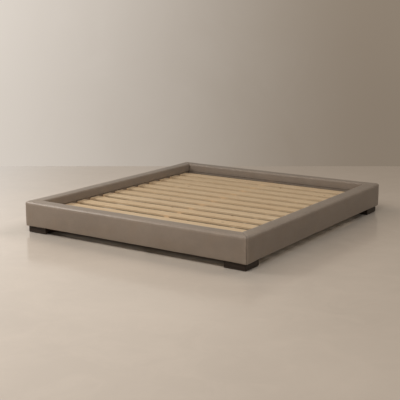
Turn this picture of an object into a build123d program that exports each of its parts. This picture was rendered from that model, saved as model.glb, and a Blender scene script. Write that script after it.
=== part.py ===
from build123d import *
import math
import os

# Low upholstered bed base: four mitred rails round a well with a slatted deck, on block feet.
# Millimetres, +Z up, +Y from the foot end to the head end. The origin is on the floor, under the middle.

# Nominal size that the well is made for, and the room round it
mattress_width = 1800
mattress_length = 2000
side_clearance = 7
end_clearance = 14

# Rails, over the leather
rail_thickness = 101
rail_height = 193
corner_radius = 26
edge_radius = 18
rim_radius = 12
seam_clearance = 0.2

# Layers of a rail, from the leather inwards
leather = 1.4
cover_clearance = 0.3
foam_outer = 14
foam_top = 14
foam_inner = 6
board = 15
board_edge_radius = 4
outer_flap = 26
inner_flap = 68
tail_width = 20

# Dust strips under the rails
dust_thickness = 0.6
dust_width = 70
dust_margin = 20

# Feet
foot_side = 175
foot_height = 50
foot_inset = 18
foot_edge_radius = 3
foot_base_radius = 2
felt_thickness = 3
felt_margin = 5
felt_hole_radius = 13

# End blocks inside the rails
block_reach = 205

# Bolts of the feet and of the corner brackets, with their inserts
bolt_radius = 4
bolt_hole_radius = 4.5
bolt_flange_radius = 9
bolt_flange_height = 1.5
bolt_head_radius = 7.5
bolt_head_height = 6
foot_bolt_length = 55
corner_bolt_length = 45
counterbore_radius = 12
counterbore_depth = 20
foot_bolt_reach = 150
bolt_hole_spare = 5
insert_radius = 6
insert_length = 20
insert_clearance = 0.05

# Corner brackets in the well
bracket_leg = 65
bracket_thickness = 4
bracket_height = 88
bracket_rise = 9
bracket_outer_radius = 6
bracket_bolt_offset = 40
bracket_bolt_spacing = 46

# Slatted deck
slat_count = 12
slat_width = 95
slat_thickness = 18
slat_edge_radius = 3
slat_end_clearance = 3
deck_recess = 75
tape_width = 25
tape_thickness = 1
tape_offset = 600

# Ledgers on the side rails
ledger_thickness = 35
ledger_height = 45
ledger_end_clearance = 3
ledger_edge_radius = 2
ledger_screw_count = 8
ledger_screw_margin = 30

# Centre beam and its hangers
beam_width = 45
beam_height = 70
beam_end_clearance = 1
beam_edge_radius = 2
hanger_steel = 2
hanger_clearance = 0.2
hanger_ear = 20
hanger_depth = 42
hanger_height = 64
hanger_screw_spacing = 40

# Centre legs with their levelling feet
leg_offset = 338
leg_plate_length = 90
leg_plate_thickness = 3
leg_screw_x = 14
leg_screw_y = 35
leg_tube_radius = 19
leg_tube_wall = 2
leg_nut_height = 8
leg_floor_gap = 34
stem_radius = 5
stem_clearance = 0.1
stem_length = 60
stem_collar_radius = 9.5
stem_collar_height = 6
pad_radius = 25
pad_height = 12
pad_socket_depth = 6
pad_edge_radius = 3
collar_clearance = 0.2

# Wood screws
screw_clearance = 0.1
long_screw_length = 45
long_screw_radius = 2.25
long_head_radius = 4.5
long_head_height = 3
short_screw_length = 14
short_screw_radius = 2
short_head_radius = 4
short_head_height = 2.6
screw_tip_share = 0.15

# Overrun of every cut
overrun = 5

# Plan and levels
well_width = mattress_width + 2 * side_clearance
well_length = mattress_length + 2 * end_clearance
base_width = well_width + 2 * rail_thickness
base_length = well_length + 2 * rail_thickness
rail_bottom = foot_height + felt_thickness
rail_top = rail_bottom + rail_height
deck_top = rail_top - deck_recess
deck_bottom = deck_top - slat_thickness
cover_layer = leather + cover_clearance

# Core of a rail, by depth behind the outer face and by height
core_outer = cover_layer + foam_outer
core_inner = rail_thickness - cover_layer - foam_inner
core_bottom = rail_bottom + cover_layer
core_top = rail_top - cover_layer - foam_top
panel_top = core_top - board
cavity_outer = core_outer + board
cavity_inner = core_inner - board
cavity_middle = (cavity_outer + cavity_inner) / 2
lip_bottom = rail_top - inner_flap

# Faces of the inner panels, from the middle of the base
panel_face_x = base_width / 2 - core_inner
panel_face_y = base_length / 2 - core_inner

# Each rail's own frame: X along the rail, Y from its outer face inwards
rails = {
    "front": (base_width, base_length / 2, 0),
    "right": (base_length, base_width / 2, 90),
    "back": (base_width, base_length / 2, 180),
    "left": (base_length, base_width / 2, 270),
}

# Each corner: its sides of the base, and its turn from the back right corner
corners = {
    "back_right": (1, 1, 0),
    "back_left": (-1, 1, 90),
    "front_left": (-1, -1, 180),
    "front_right": (1, -1, 270),
}


def block(x_span, y_span, z_span):
    """Box between two values on each axis, given in any order."""
    spans = (x_span, y_span, z_span)
    low = [min(span) for span in spans]
    size = [max(span) - min(span) for span in spans]
    return Pos(*low) * Box(*size, align=Align.MIN)


def placed(rail, shape):
    """Move a shape from a rail's own frame to the base."""
    length, distance, turn = rails[rail]
    return Rot(0, 0, turn) * Pos(0, -distance, 0) * shape


def centred(length):
    """Span about the middle."""
    return (-length / 2, length / 2)


def edges_along(shape, axis):
    """Straight edges of a shape that run along an axis."""
    return shape.edges().filter_by(axis)


def cylinder_down(radius, length, top=0):
    """Cylinder that hangs down from a height."""
    return Pos(0, 0, top - length) * Cylinder(radius, length, align=(Align.CENTER, Align.CENTER, Align.MIN))


# Forms of a rail


def rounded_body(inset):
    """Whole base seen as one block, with its rounded outer edges, drawn in by the inset."""
    plan = RectangleRounded(base_width - 2 * inset, base_length - 2 * inset, corner_radius - inset)
    body = extrude(Pos(0, 0, rail_bottom + inset) * plan, rail_height - 2 * inset)
    faces = body.faces().sort_by(Axis.Z)
    return fillet(faces[0].edges() + faces[-1].edges(), edge_radius - inset)


def mitre_wedge(rail, inset, low, high):
    """Plan of one rail with its two mitred ends, drawn in square to the mitres."""
    length = rails[rail][0]
    reach = length / 2 - inset * math.sqrt(2)
    outer = reach + overrun
    inner = reach - rail_thickness - overrun
    depth = rail_thickness + overrun
    plan = Polygon((-outer, -overrun), (outer, -overrun), (inner, depth), (-inner, depth), align=None)
    return extrude(Pos(0, 0, low) * plan, high - low)


def rail_form(rail, inset, body):
    """Full shape of a rail, with every face drawn in by the inset."""
    length = rails[rail][0]
    bar = block(centred(length), (-overrun, rail_thickness - inset), (rail_bottom + inset, rail_top - inset))
    rim_edge = edges_along(bar, Axis.X).sort_by(Axis.Z)[-2:].sort_by(Axis.Y)[-1]
    bar = fillet(rim_edge, rim_radius - inset)
    wedge = mitre_wedge(rail, seam_clearance + inset, rail_bottom - overrun, rail_top + overrun)
    return placed(rail, bar & wedge) & body


def rail_strip(rail, depths, heights, inset):
    """Straight member of a rail, mitred at both ends."""
    length = rails[rail][0]
    bar = block(centred(length), depths, heights)
    return bar & mitre_wedge(rail, seam_clearance + inset, min(heights), max(heights))


def rail_slot(rail, depths, heights):
    """Cut that runs past both ends of a rail."""
    length = rails[rail][0] + 2 * overrun
    return placed(rail, block(centred(length), depths, heights))


outer_body = rounded_body(0)
lining_body = rounded_body(leather)
foam_body = rounded_body(cover_layer)


def leather_cover(rail):
    """Leather from the flap under the outer board, over the rim, to the tail on the inner board."""
    shell = rail_form(rail, 0, outer_body) - rail_form(rail, leather, lining_body)
    past_rail = rail_thickness + overrun
    shell -= rail_slot(rail, (outer_flap, past_rail), (rail_bottom - overrun, rail_bottom + leather))
    shell -= rail_slot(rail, (core_inner, past_rail), (rail_bottom - overrun, lip_bottom))
    lip = rail_strip(rail, (core_inner, rail_thickness - leather / 2), (lip_bottom, lip_bottom + leather), 0)
    tail_heights = (lip_bottom - tail_width, lip_bottom + leather / 2)
    tail = rail_strip(rail, (core_inner, core_inner + leather), tail_heights, 0)
    return shell + placed(rail, lip) + placed(rail, tail)


def foam_wrap(rail):
    """Foam over the outer board, the top board and the upper part of the inner board."""
    past_rail = rail_thickness + overrun
    wrap = rail_form(rail, cover_layer, foam_body)
    wrap -= rail_slot(rail, (core_outer, core_inner), (rail_bottom - overrun, core_top))
    return wrap - rail_slot(rail, (core_inner, past_rail), (rail_bottom - overrun, lip_bottom + cover_layer))


# Fasteners, each drawn with its shank pointing down from a seat at zero


def flange_bolt(length):
    head = extrude(Pos(0, 0, bolt_flange_height) * RegularPolygon(bolt_head_radius, 6), bolt_head_height)
    flange = cylinder_down(bolt_flange_radius, bolt_flange_height, bolt_flange_height)
    return head + flange + cylinder_down(bolt_radius, length)


def threaded_insert():
    return cylinder_down(insert_radius, insert_length) - cylinder_down(bolt_radius + insert_clearance, insert_length)


def screw_shank(radius, length):
    tip = length * screw_tip_share
    point = Cone(radius / 2, radius, tip, align=(Align.CENTER, Align.CENTER, Align.MIN))
    return cylinder_down(radius, length - tip) + Pos(0, 0, -length) * point


def countersunk_screw(grow=0):
    cone = Cone(
        long_screw_radius + grow,
        long_head_radius + grow,
        long_head_height,
        align=(Align.CENTER, Align.CENTER, Align.MAX),
    )
    return cone + screw_shank(long_screw_radius + grow, long_screw_length + grow)


def pan_screw():
    head = Cylinder(short_head_radius, short_head_height, align=(Align.CENTER, Align.CENTER, Align.MIN))
    head = fillet(head.edges().sort_by(Axis.Z)[-1], short_head_height / 2)
    return head + screw_shank(short_screw_radius, short_screw_length)


def countersunk_hole():
    mouth = cylinder_down(long_head_radius + screw_clearance, overrun, overrun)
    return countersunk_screw(screw_clearance) + mouth


def pan_hole():
    return cylinder_down(short_screw_radius + screw_clearance, short_screw_length + screw_clearance + overrun, overrun)


def spread(count, reach):
    """Evenly spaced places from one end of a reach to the other, about its middle."""
    return [reach * (index / (count - 1) - 1 / 2) for index in range(count)]


# Places of the bolts in a rail's own frame

bracket_low = rail_bottom + bracket_rise
bracket_middle = bracket_low + bracket_height / 2
bracket_seat = core_inner + bracket_thickness


def corner_bolt_places(rail):
    reach = rails[rail][0] / 2 - core_inner - bracket_bolt_offset
    heights = [bracket_middle + rise for rise in spread(2, bracket_bolt_spacing)]
    return [Pos(side * reach, bracket_seat, height) * Rot(-90, 0, 0) for side in (-1, 1) for height in heights]


def foot_bolt_places(rail):
    reach = rails[rail][0] / 2 - foot_bolt_reach
    seat = felt_thickness + counterbore_depth
    return [Pos(side * reach, cavity_middle, seat) * Rot(180, 0, 0) for side in (-1, 1)]


def in_every_rail(places, shape):
    """Copies of a shape at the same places of all four rails."""
    return [placed(rail, place * shape) for rail in rails for place in places(rail)]


def cut(piece, voids):
    """Take away the voids that reach the piece."""
    box = piece.bounding_box()
    near = [void for void in voids if box.overlaps(void.bounding_box())]
    return piece - near if near else piece


corner_grip = bracket_thickness + board
foot_grip = foot_height - counterbore_depth
corner_drill = cylinder_down(bolt_hole_radius, corner_bolt_length + bolt_hole_spare + overrun, overrun)
foot_drill = cylinder_down(bolt_hole_radius, foot_bolt_length + bolt_hole_spare)
insert_seat = cylinder_down(insert_radius + insert_clearance, insert_length + insert_clearance)
counterbore = cylinder_down(counterbore_radius, counterbore_depth + overrun, counterbore_depth + overrun)
felt_hole = cylinder_down(felt_hole_radius, counterbore_depth + overrun * 2, counterbore_depth + overrun)

corner_drills = in_every_rail(corner_bolt_places, corner_drill)
foot_drills = in_every_rail(foot_bolt_places, foot_drill)
corner_seats = in_every_rail(corner_bolt_places, Pos(0, 0, -corner_grip) * insert_seat)
foot_seats = in_every_rail(foot_bolt_places, Pos(0, 0, -foot_grip) * insert_seat)
counterbores = in_every_rail(foot_bolt_places, counterbore)
felt_holes = in_every_rail(foot_bolt_places, felt_hole)

# Places of the screws

slat_gap = (well_length - slat_count * slat_width) / (slat_count + 1)
slat_pitch = slat_width + slat_gap
slat_places = spread(slat_count, slat_pitch * (slat_count - 1))
slat_reach = well_width / 2 - slat_end_clearance
ledger_face = panel_face_x - ledger_thickness
ledger_reach = panel_face_y - bracket_leg - ledger_end_clearance
ledger_middle = deck_bottom - ledger_height / 2
slat_screw_x = (slat_reach + ledger_face) / 2
beam_bottom = deck_bottom - beam_height
hanger_low = beam_bottom - hanger_steel
hanger_cheek = beam_width / 2 + hanger_clearance
hanger_reach = hanger_cheek + hanger_steel
hanger_screw_x = hanger_reach + hanger_ear / 2
hanger_middle = hanger_low + hanger_height / 2
leg_plate_bottom = beam_bottom - leg_plate_thickness

long_screw_places = []
for side in (-1, 1):
    for y in spread(ledger_screw_count, 2 * (ledger_reach - ledger_screw_margin)):
        long_screw_places.append(Pos(side * ledger_face, y, ledger_middle) * Rot(0, -side * 90, 0))
for y in (slat_places[0], slat_places[-1]):
    for x in (-slat_screw_x, 0, slat_screw_x):
        long_screw_places.append(Pos(x, y, deck_top))

short_screw_places = []
for side in (-1, 1):
    for x in (-hanger_screw_x, hanger_screw_x):
        for rise in spread(2, hanger_screw_spacing):
            seat = side * (panel_face_y - hanger_steel)
            short_screw_places.append(Pos(x, seat, hanger_middle + rise) * Rot(side * 90, 0, 0))
    for x in (-leg_screw_x, leg_screw_x):
        for y in (side * leg_offset - leg_screw_y, side * leg_offset + leg_screw_y):
            short_screw_places.append(Pos(x, y, leg_plate_bottom) * Rot(180, 0, 0))

long_holes = [place * countersunk_hole() for place in long_screw_places]
short_holes = [place * pan_hole() for place in short_screw_places]

# Sub-parts of the rails


def outer_panel(rail):
    """Outer board, with the lower edge that the leather is pulled round eased."""
    panel = rail_strip(rail, (core_outer, cavity_outer), (core_bottom, panel_top), cover_layer)
    eased_edge = edges_along(panel, Axis.X).sort_by(Axis.Z)[:2].sort_by(Axis.Y)[0]
    return placed(rail, fillet(eased_edge, board_edge_radius))


def inner_panel(rail):
    """Inner board, bored for the bolts and screws that it takes."""
    panel = placed(rail, rail_strip(rail, (cavity_inner, core_inner), (core_bottom, panel_top), cover_layer))
    return cut(panel, corner_drills + long_holes + short_holes)


def top_board(rail):
    return placed(rail, rail_strip(rail, (core_outer, core_inner), (panel_top, core_top), cover_layer))


def end_blocks(rail):
    """The two blocks between a rail's boards, which reach down to the feet."""
    length = rails[rail][0]
    filler = rail_strip(rail, (cavity_outer, cavity_inner), (rail_bottom, panel_top), cover_layer)
    free_reach = length / 2 - block_reach
    filler -= block((-free_reach, free_reach), (0, rail_thickness), (rail_bottom, panel_top))
    voids = corner_drills + corner_seats + foot_drills + foot_seats
    return [cut(placed(rail, solid), voids) for solid in filler.solids()]


def dust_strip(rail):
    """Non-woven strip under the hollow of a rail, between the feet."""
    length = rails[rail][0] - 2 * (foot_inset + foot_side + felt_margin)
    depths = (dust_margin, dust_margin + dust_width)
    return placed(rail, block(centred(length), depths, (rail_bottom - dust_thickness, rail_bottom)))


# Sub-parts at the corners


def foot(corner):
    side_x, side_y, turn = corners[corner]
    x_span = [side_x * (base_width / 2 - foot_inset - step) for step in (0, foot_side)]
    y_span = [side_y * (base_length / 2 - foot_inset - step) for step in (0, foot_side)]
    body = block(x_span, y_span, (felt_thickness, rail_bottom))
    body = fillet(edges_along(body, Axis.Z), foot_edge_radius)
    body = fillet(body.faces().sort_by(Axis.Z)[0].edges(), foot_base_radius)
    return cut(body, foot_drills + counterbores)


def felt_pad(corner):
    side_x, side_y, turn = corners[corner]
    steps = (felt_margin, foot_side - felt_margin)
    x_span = [side_x * (base_width / 2 - foot_inset - step) for step in steps]
    y_span = [side_y * (base_length / 2 - foot_inset - step) for step in steps]
    pad = block(x_span, y_span, (0, felt_thickness))
    pad = fillet(edges_along(pad, Axis.Z), foot_edge_radius)
    return cut(pad, felt_holes)


def corner_bracket(corner):
    """Bent angle against two inner boards."""
    side_x, side_y, turn = corners[corner]
    leg = bracket_leg
    wall = bracket_thickness
    plan = Polygon((0, 0), (-leg, 0), (-leg, -wall), (-wall, -wall), (-wall, -leg), (0, -leg), align=None)
    bends = plan.vertices().sort_by(lambda point: Vector(*point).length)
    plan = fillet(bends[0], bracket_outer_radius)
    throat = plan.vertices().sort_by(lambda point: (Vector(*point) - Vector(-wall, -wall)).length)
    plan = fillet(throat[0], bracket_outer_radius - wall)
    angle = extrude(plan, bracket_height)
    place = Pos(side_x * panel_face_x, side_y * panel_face_y, bracket_low) * Rot(0, 0, turn)
    return cut(place * angle, corner_drills)


# Sub-parts of the deck


def slat(index):
    y = slat_places[index]
    half = slat_width / 2
    body = block((-slat_reach, slat_reach), (y - half, y + half), (deck_bottom, deck_top))
    body = fillet(edges_along(body, Axis.X), slat_edge_radius)
    return cut(body, long_holes)


def slat_tape(side):
    reach = slat_places[-1] + slat_width / 2
    x = side * tape_offset
    half = tape_width / 2
    return block((x - half, x + half), (-reach, reach), (deck_bottom - tape_thickness, deck_bottom))


def ledger(side):
    heights = (deck_bottom - ledger_height, deck_bottom)
    body = block((side * ledger_face, side * panel_face_x), (-ledger_reach, ledger_reach), heights)
    body = fillet(edges_along(body, Axis.Y), ledger_edge_radius)
    return cut(body, long_holes)


def centre_beam():
    reach = panel_face_y - hanger_steel - beam_end_clearance
    body = block(centred(beam_width), (-reach, reach), (beam_bottom, deck_bottom))
    body = fillet(edges_along(body, Axis.Y), beam_edge_radius)
    return cut(body, long_holes + short_holes)


def beam_hanger(side):
    """Bent saddle on an end rail: back plate with ears, seat and two cheeks."""
    heights = (hanger_low, hanger_low + hanger_height)
    back = [side * (panel_face_y - step) for step in (0, hanger_steel)]
    depth = [side * (panel_face_y - step) for step in (0, hanger_depth)]
    plate_reach = hanger_reach + hanger_ear
    saddle = block((-plate_reach, plate_reach), back, heights)
    saddle += block((-hanger_reach, hanger_reach), depth, (hanger_low, beam_bottom))
    for cheek in (-1, 1):
        saddle += block((cheek * hanger_cheek, cheek * hanger_reach), depth, heights)
    return cut(saddle, short_holes)


# Centre legs and their levelling feet


def centre_leg(side):
    """Plate, tube and the nut in its lower end, welded together."""
    tube_length = leg_plate_bottom - leg_floor_gap
    tube = cylinder_down(leg_tube_radius, tube_length, leg_plate_bottom)
    bore_length = tube_length - leg_nut_height
    tube -= cylinder_down(leg_tube_radius - leg_tube_wall, bore_length, leg_plate_bottom)
    tube -= cylinder_down(stem_radius + stem_clearance, tube_length + overrun, leg_plate_bottom)
    plate = block(centred(beam_width), centred(leg_plate_length), (leg_plate_bottom, beam_bottom))
    return cut(Pos(0, side * leg_offset, 0) * (plate + tube), short_holes)


def levelling_stem(side):
    """Stem with its hexagonal collar, standing in the pad's socket."""
    low = pad_height - pad_socket_depth
    stem = cylinder_down(stem_radius, stem_length, low + stem_length)
    collar = Pos(0, 0, pad_height + collar_clearance) * RegularPolygon(stem_collar_radius, 6)
    return Pos(0, side * leg_offset, 0) * (stem + extrude(collar, stem_collar_height))


def levelling_pad(side):
    pad = cylinder_down(pad_radius, pad_height, pad_height)
    pad = fillet(pad.edges().sort_by(Axis.Z)[-1], pad_edge_radius)
    pad -= cylinder_down(stem_radius + stem_clearance, pad_socket_depth, pad_height)
    return Pos(0, side * leg_offset, 0) * pad


# Nodes


def build():
    nodes = {}
    for rail in rails:
        nodes[rail + "_leather_cover"] = [leather_cover(rail)]
        nodes[rail + "_foam_wrap"] = [foam_wrap(rail)]
        nodes[rail + "_outer_board"] = [outer_panel(rail)]
        nodes[rail + "_inner_board"] = [inner_panel(rail)]
        nodes[rail + "_top_board"] = [top_board(rail)]
        nodes[rail + "_end_blocks"] = end_blocks(rail)
    nodes["dust_strips"] = [dust_strip(rail) for rail in rails]
    for corner in corners:
        nodes[corner + "_foot"] = [foot(corner)]
    nodes["felt_pads"] = [felt_pad(corner) for corner in corners]
    nodes["corner_brackets"] = [corner_bracket(corner) for corner in corners]
    nodes["corner_bolts"] = in_every_rail(corner_bolt_places, flange_bolt(corner_bolt_length))
    nodes["foot_bolts"] = in_every_rail(foot_bolt_places, flange_bolt(foot_bolt_length))
    nodes["threaded_inserts"] = in_every_rail(corner_bolt_places, Pos(0, 0, -corner_grip) * threaded_insert())
    nodes["threaded_inserts"] += in_every_rail(foot_bolt_places, Pos(0, 0, -foot_grip) * threaded_insert())
    for index in range(slat_count):
        nodes[f"slat_{index + 1:02d}"] = [slat(index)]
    nodes["slat_tapes"] = [slat_tape(side) for side in (-1, 1)]
    nodes["left_ledger"] = [ledger(-1)]
    nodes["right_ledger"] = [ledger(1)]
    nodes["centre_beam"] = [centre_beam()]
    nodes["front_beam_hanger"] = [beam_hanger(-1)]
    nodes["back_beam_hanger"] = [beam_hanger(1)]
    for end, side in (("front", -1), ("back", 1)):
        nodes[end + "_centre_leg"] = [centre_leg(side)]
        nodes[end + "_levelling_stem"] = [levelling_stem(side)]
        nodes[end + "_levelling_pad"] = [levelling_pad(side)]
    nodes["long_screws"] = [place * countersunk_screw() for place in long_screw_places]
    nodes["short_screws"] = [place * pan_screw() for place in short_screw_places]
    return nodes


os.makedirs("parts", exist_ok=True)
for node, pieces in build().items():
    solids = [solid for piece in pieces for solid in piece.solids()]
    shape = solids[0] if len(solids) == 1 else Compound(children=solids)
    export_step(shape, f"parts/{node}.step")
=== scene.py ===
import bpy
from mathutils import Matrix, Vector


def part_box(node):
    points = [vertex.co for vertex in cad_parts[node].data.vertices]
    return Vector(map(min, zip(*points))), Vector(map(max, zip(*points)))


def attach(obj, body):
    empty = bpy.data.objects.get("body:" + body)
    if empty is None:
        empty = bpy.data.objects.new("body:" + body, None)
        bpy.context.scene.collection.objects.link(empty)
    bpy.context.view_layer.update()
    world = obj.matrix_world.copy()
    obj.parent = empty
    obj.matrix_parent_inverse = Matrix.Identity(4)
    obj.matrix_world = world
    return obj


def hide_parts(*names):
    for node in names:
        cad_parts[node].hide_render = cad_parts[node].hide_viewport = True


bl_info = {
    "name": "Upholstered Bed Base",
    "version": (1, 0, 0),
    "blender": (4, 5, 0),
    "location": "3D View > Sidebar > Bed Base",
    "description": "Builds the covers, cloth and fittings of a bed base and sets it on a stage",
    "category": "Object",
}

import math
import random
from typing import NamedTuple

import bmesh
import bpy
from bpy.props import FloatProperty, FloatVectorProperty, IntProperty, PointerProperty
from mathutils import Matrix, Vector, noise

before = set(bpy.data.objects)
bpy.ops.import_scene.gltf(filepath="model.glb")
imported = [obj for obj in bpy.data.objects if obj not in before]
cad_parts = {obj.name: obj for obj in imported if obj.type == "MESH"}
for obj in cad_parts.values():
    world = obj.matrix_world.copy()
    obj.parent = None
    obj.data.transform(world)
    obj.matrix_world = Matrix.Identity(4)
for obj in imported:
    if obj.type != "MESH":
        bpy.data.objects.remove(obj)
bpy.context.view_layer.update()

MM = 0.001
BODY = "base"
ENDS = ("front", "back")
RAILS = ("front", "right", "back", "left")
CORNERS = ("back_right", "back_left", "front_left", "front_right")  # in the order of their quarter turns
WELD = 0.001 * MM  # points nearer than this are one point
SLIVER = 0.1 * MM  # height of a turned shape's flat steps
FULL_TURN = 2 * math.pi

# Main sizes of the base, read from the frame. A depth is measured from a rail's outer face.
cover_low, cover_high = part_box("back_leather_cover")
half_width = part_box("right_leather_cover")[1].x
half_length = cover_high.y
rail_bottom, rail_top = cover_low.z, cover_high.z
rail_thickness = half_length - cover_low.y
board_depth = half_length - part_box("back_inner_board")[0].y
board_outer = half_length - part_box("back_outer_board")[1].y
board_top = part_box("back_top_board")[1].z
slats = sorted(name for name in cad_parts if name.startswith("slat_") and name != "slat_tapes")
slat_middle = [sum(corner.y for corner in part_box(name)) / 2 for name in slats]
slat_pitch = slat_middle[1] - slat_middle[0]
slat_low, slat_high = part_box(slats[0])
slat_width = slat_high.y - slat_low.y

# Each rail: its length, the distance of its outer face from the middle, and its turn in degrees
rails = {
    "front": (2 * half_width, half_length, 0),
    "right": (2 * half_length, half_width, 90),
    "back": (2 * half_width, half_length, 180),
    "left": (2 * half_length, half_width, 270),
}


# Settings that a user would change


def length(name, description, default):
    return FloatProperty(name=name, description=description, default=default, unit="LENGTH", precision=4)


def power(name, description, default):
    return FloatProperty(name=name, description=description, default=default, unit="POWER")


def colour(name, description, default):
    return FloatVectorProperty(
        name=name, description=description, default=default, subtype="COLOR", size=3, min=0, max=1
    )


class BedCoverSettings(bpy.types.PropertyGroup):
    corner_radius: length("Corner Radius", "Radius of the base's upright corners", 14 * MM)
    edge_radius: length("Edge Radius", "Radius of a rail's upper outer edge", 18 * MM)
    hem_radius: length("Hem Radius", "Radius of a rail's lower outer edge", 8 * MM)
    rim_radius: length("Rim Radius", "Radius of a rail's edge beside the well", 12 * MM)
    leather: length("Leather Thickness", "Thickness of the leather", 1.4 * MM)
    crown: length("Crown", "How far the leather swells over its foam", 4.2 * MM)
    fullness: length("Corner Fullness", "How far the leather stands out beside a mitre", 2.2 * MM)
    flap: length("Outer Flap", "Leather that is turned in under the outer board", 26 * MM)
    lip: length("Lip Height", "Height at which the leather turns in beside the well", 178 * MM)
    tail: length("Tail", "Leather that is stapled to the inner board", 20 * MM)
    seam: length("Seam Radius", "How far from a mitre the leather starts to turn in to its seam", 3.4 * MM)
    leather_colour: colour("Leather", "Colour of the leather", (0.275, 0.217, 0.169))
    foam_colour: colour("Foam", "Colour of the foam", (0.72, 0.62, 0.38))


class BedWoodSettings(bpy.types.PropertyGroup):
    ring_width: length("Ring Width", "Distance between the growth rings of the pine", 5.5 * MM)
    pine_colour: colour("Pine", "Colour of the pine's early wood", (0.72, 0.545, 0.35))
    late_colour: colour("Late Wood", "Colour of the pine's late wood", (0.53, 0.325, 0.16))
    birch_colour: colour("Birch", "Colour of the plywood's faces", (0.64, 0.47, 0.3))
    stain_colour: colour("Stain", "Colour of the stained feet", (0.036, 0.0245, 0.0175))


class BedClothSettings(bpy.types.PropertyGroup):
    felt_colour: colour("Felt", "Colour of the felt pads", (0.09, 0.08, 0.072))
    dust_colour: colour("Dust Cloth", "Colour of the cloth under the rails", (0.018, 0.018, 0.019))
    tape_colour: colour("Tape", "Colour of the slat tapes", (0.6, 0.56, 0.48))
    sag: length("Sag", "How far cloth sags between its staples", 1.2 * MM)


class BedFittingSettings(bpy.types.PropertyGroup):
    staple_crown: length("Staple Crown", "Width of a staple", 11 * MM)
    staple_step: length("Staple Step", "Distance between staples", 42 * MM)
    wire_width: length("Wire Width", "Width of the staples' flat wire", 1.3 * MM)
    screw_pitch: length("Screw Pitch", "Pitch of the wood screws", 2.4 * MM)
    bolt_pitch: length("Bolt Pitch", "Pitch of the bolts", 1.25 * MM)
    stem_pitch: length("Stem Pitch", "Pitch of the levelling stems", 1.5 * MM)
    steel_colour: colour("Powder Coat", "Colour of the coated steel", (0.022, 0.022, 0.024))
    zinc_colour: colour("Zinc", "Colour of the zinc plating", (0.62, 0.63, 0.65))
    plastic_colour: colour("Plastic", "Colour of the levelling pads", (0.02, 0.02, 0.021))


class BedStageSettings(bpy.types.PropertyGroup):
    floor_colour: colour("Floor", "Colour of the polished floor", (0.63, 0.553, 0.475))
    # The wall's two colours paint its light: lit at the left and in shade at the right.
    wall_light: colour("Wall, Lit Side", "Colour of the wall at the left", (0.79, 0.725, 0.655))
    wall_shade: colour("Wall, Far Side", "Colour of the wall at the right", (0.265, 0.215, 0.165))
    backdrop: colour("Backdrop", "Colour that shows where no wall is seen", (0.37, 0.32, 0.27))
    key_power: power("Key Light", "Power of the main lamp", 122)
    window_power: power("Window Light", "Power of the near lamp", 50)
    fill_power: power("Fill Light", "Power of the lamp at the right", 46)
    side_power: power("Side Light", "Power of the lamp at the left", 36)
    room_light: FloatProperty(name="Room Light", description="Light from all sides", default=0.13)
    wall_steps: IntProperty(name="Wall Steps", description="Strips that make up the wall", default=8, min=2)


# Node trees


class Link:
    """Output socket that takes part in sums as a number would."""

    def __init__(self, graph, socket):
        self.graph = graph
        self.socket = socket

    def __add__(self, other):
        return self.graph.maths("ADD", self, other)

    def __sub__(self, other):
        return self.graph.maths("SUBTRACT", self, other)

    def __rsub__(self, other):
        return self.graph.maths("SUBTRACT", other, self)

    def __mul__(self, other):
        return self.graph.maths("MULTIPLY", self, other)

    def __truediv__(self, other):
        return self.graph.maths("DIVIDE", self, other)

    def __neg__(self):
        return self.graph.maths("MULTIPLY", self, -1)

    def __abs__(self):
        return self.graph.maths("ABSOLUTE", self)

    __radd__ = __add__
    __rmul__ = __mul__


def pick(sockets, key):
    """Socket in use by its name or number."""
    shown = [socket for socket in sockets if socket.enabled]
    return shown[key] if isinstance(key, int) else next(socket for socket in shown if socket.name == key)


class Graph:
    """Node tree with one way to add a node."""

    def __init__(self, tree):
        self.tree = tree

    def add(self, kind, settings=None, values=None, out=0):
        """Add a node, set it up, feed its sockets and give one of its outputs, or the node itself."""
        made = self.tree.nodes.new(kind)
        for key, value in (settings or {}).items():
            setattr(made, key, value)
        for key, value in (values or {}).items():
            socket = pick(made.inputs, key)
            if isinstance(value, Link):
                self.tree.links.new(value.socket, socket)
            else:
                socket.default_value = value
        return made if out is None else Link(self, pick(made.outputs, out))

    def maths(self, operation, *values):
        return self.add("ShaderNodeMath", {"operation": operation}, dict(enumerate(values)))

    def smooth(self, value, low, high):
        """Soft step from 0 at low to 1 at high."""
        values = {"Value": value, "From Min": low, "From Max": high}
        return self.add("ShaderNodeMapRange", {"interpolation_type": "SMOOTHSTEP"}, values)

    def split(self, vector):
        node = self.add("ShaderNodeSeparateXYZ", None, {0: vector}, out=None)
        return [Link(self, socket) for socket in node.outputs]

    def join(self, x, y, z):
        return self.add("ShaderNodeCombineXYZ", None, {0: x, 1: y, 2: z})

    def vector(self, operation, first, second, out=0):
        return self.add("ShaderNodeVectorMath", {"operation": operation}, {0: first, 1: second}, out)


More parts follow.
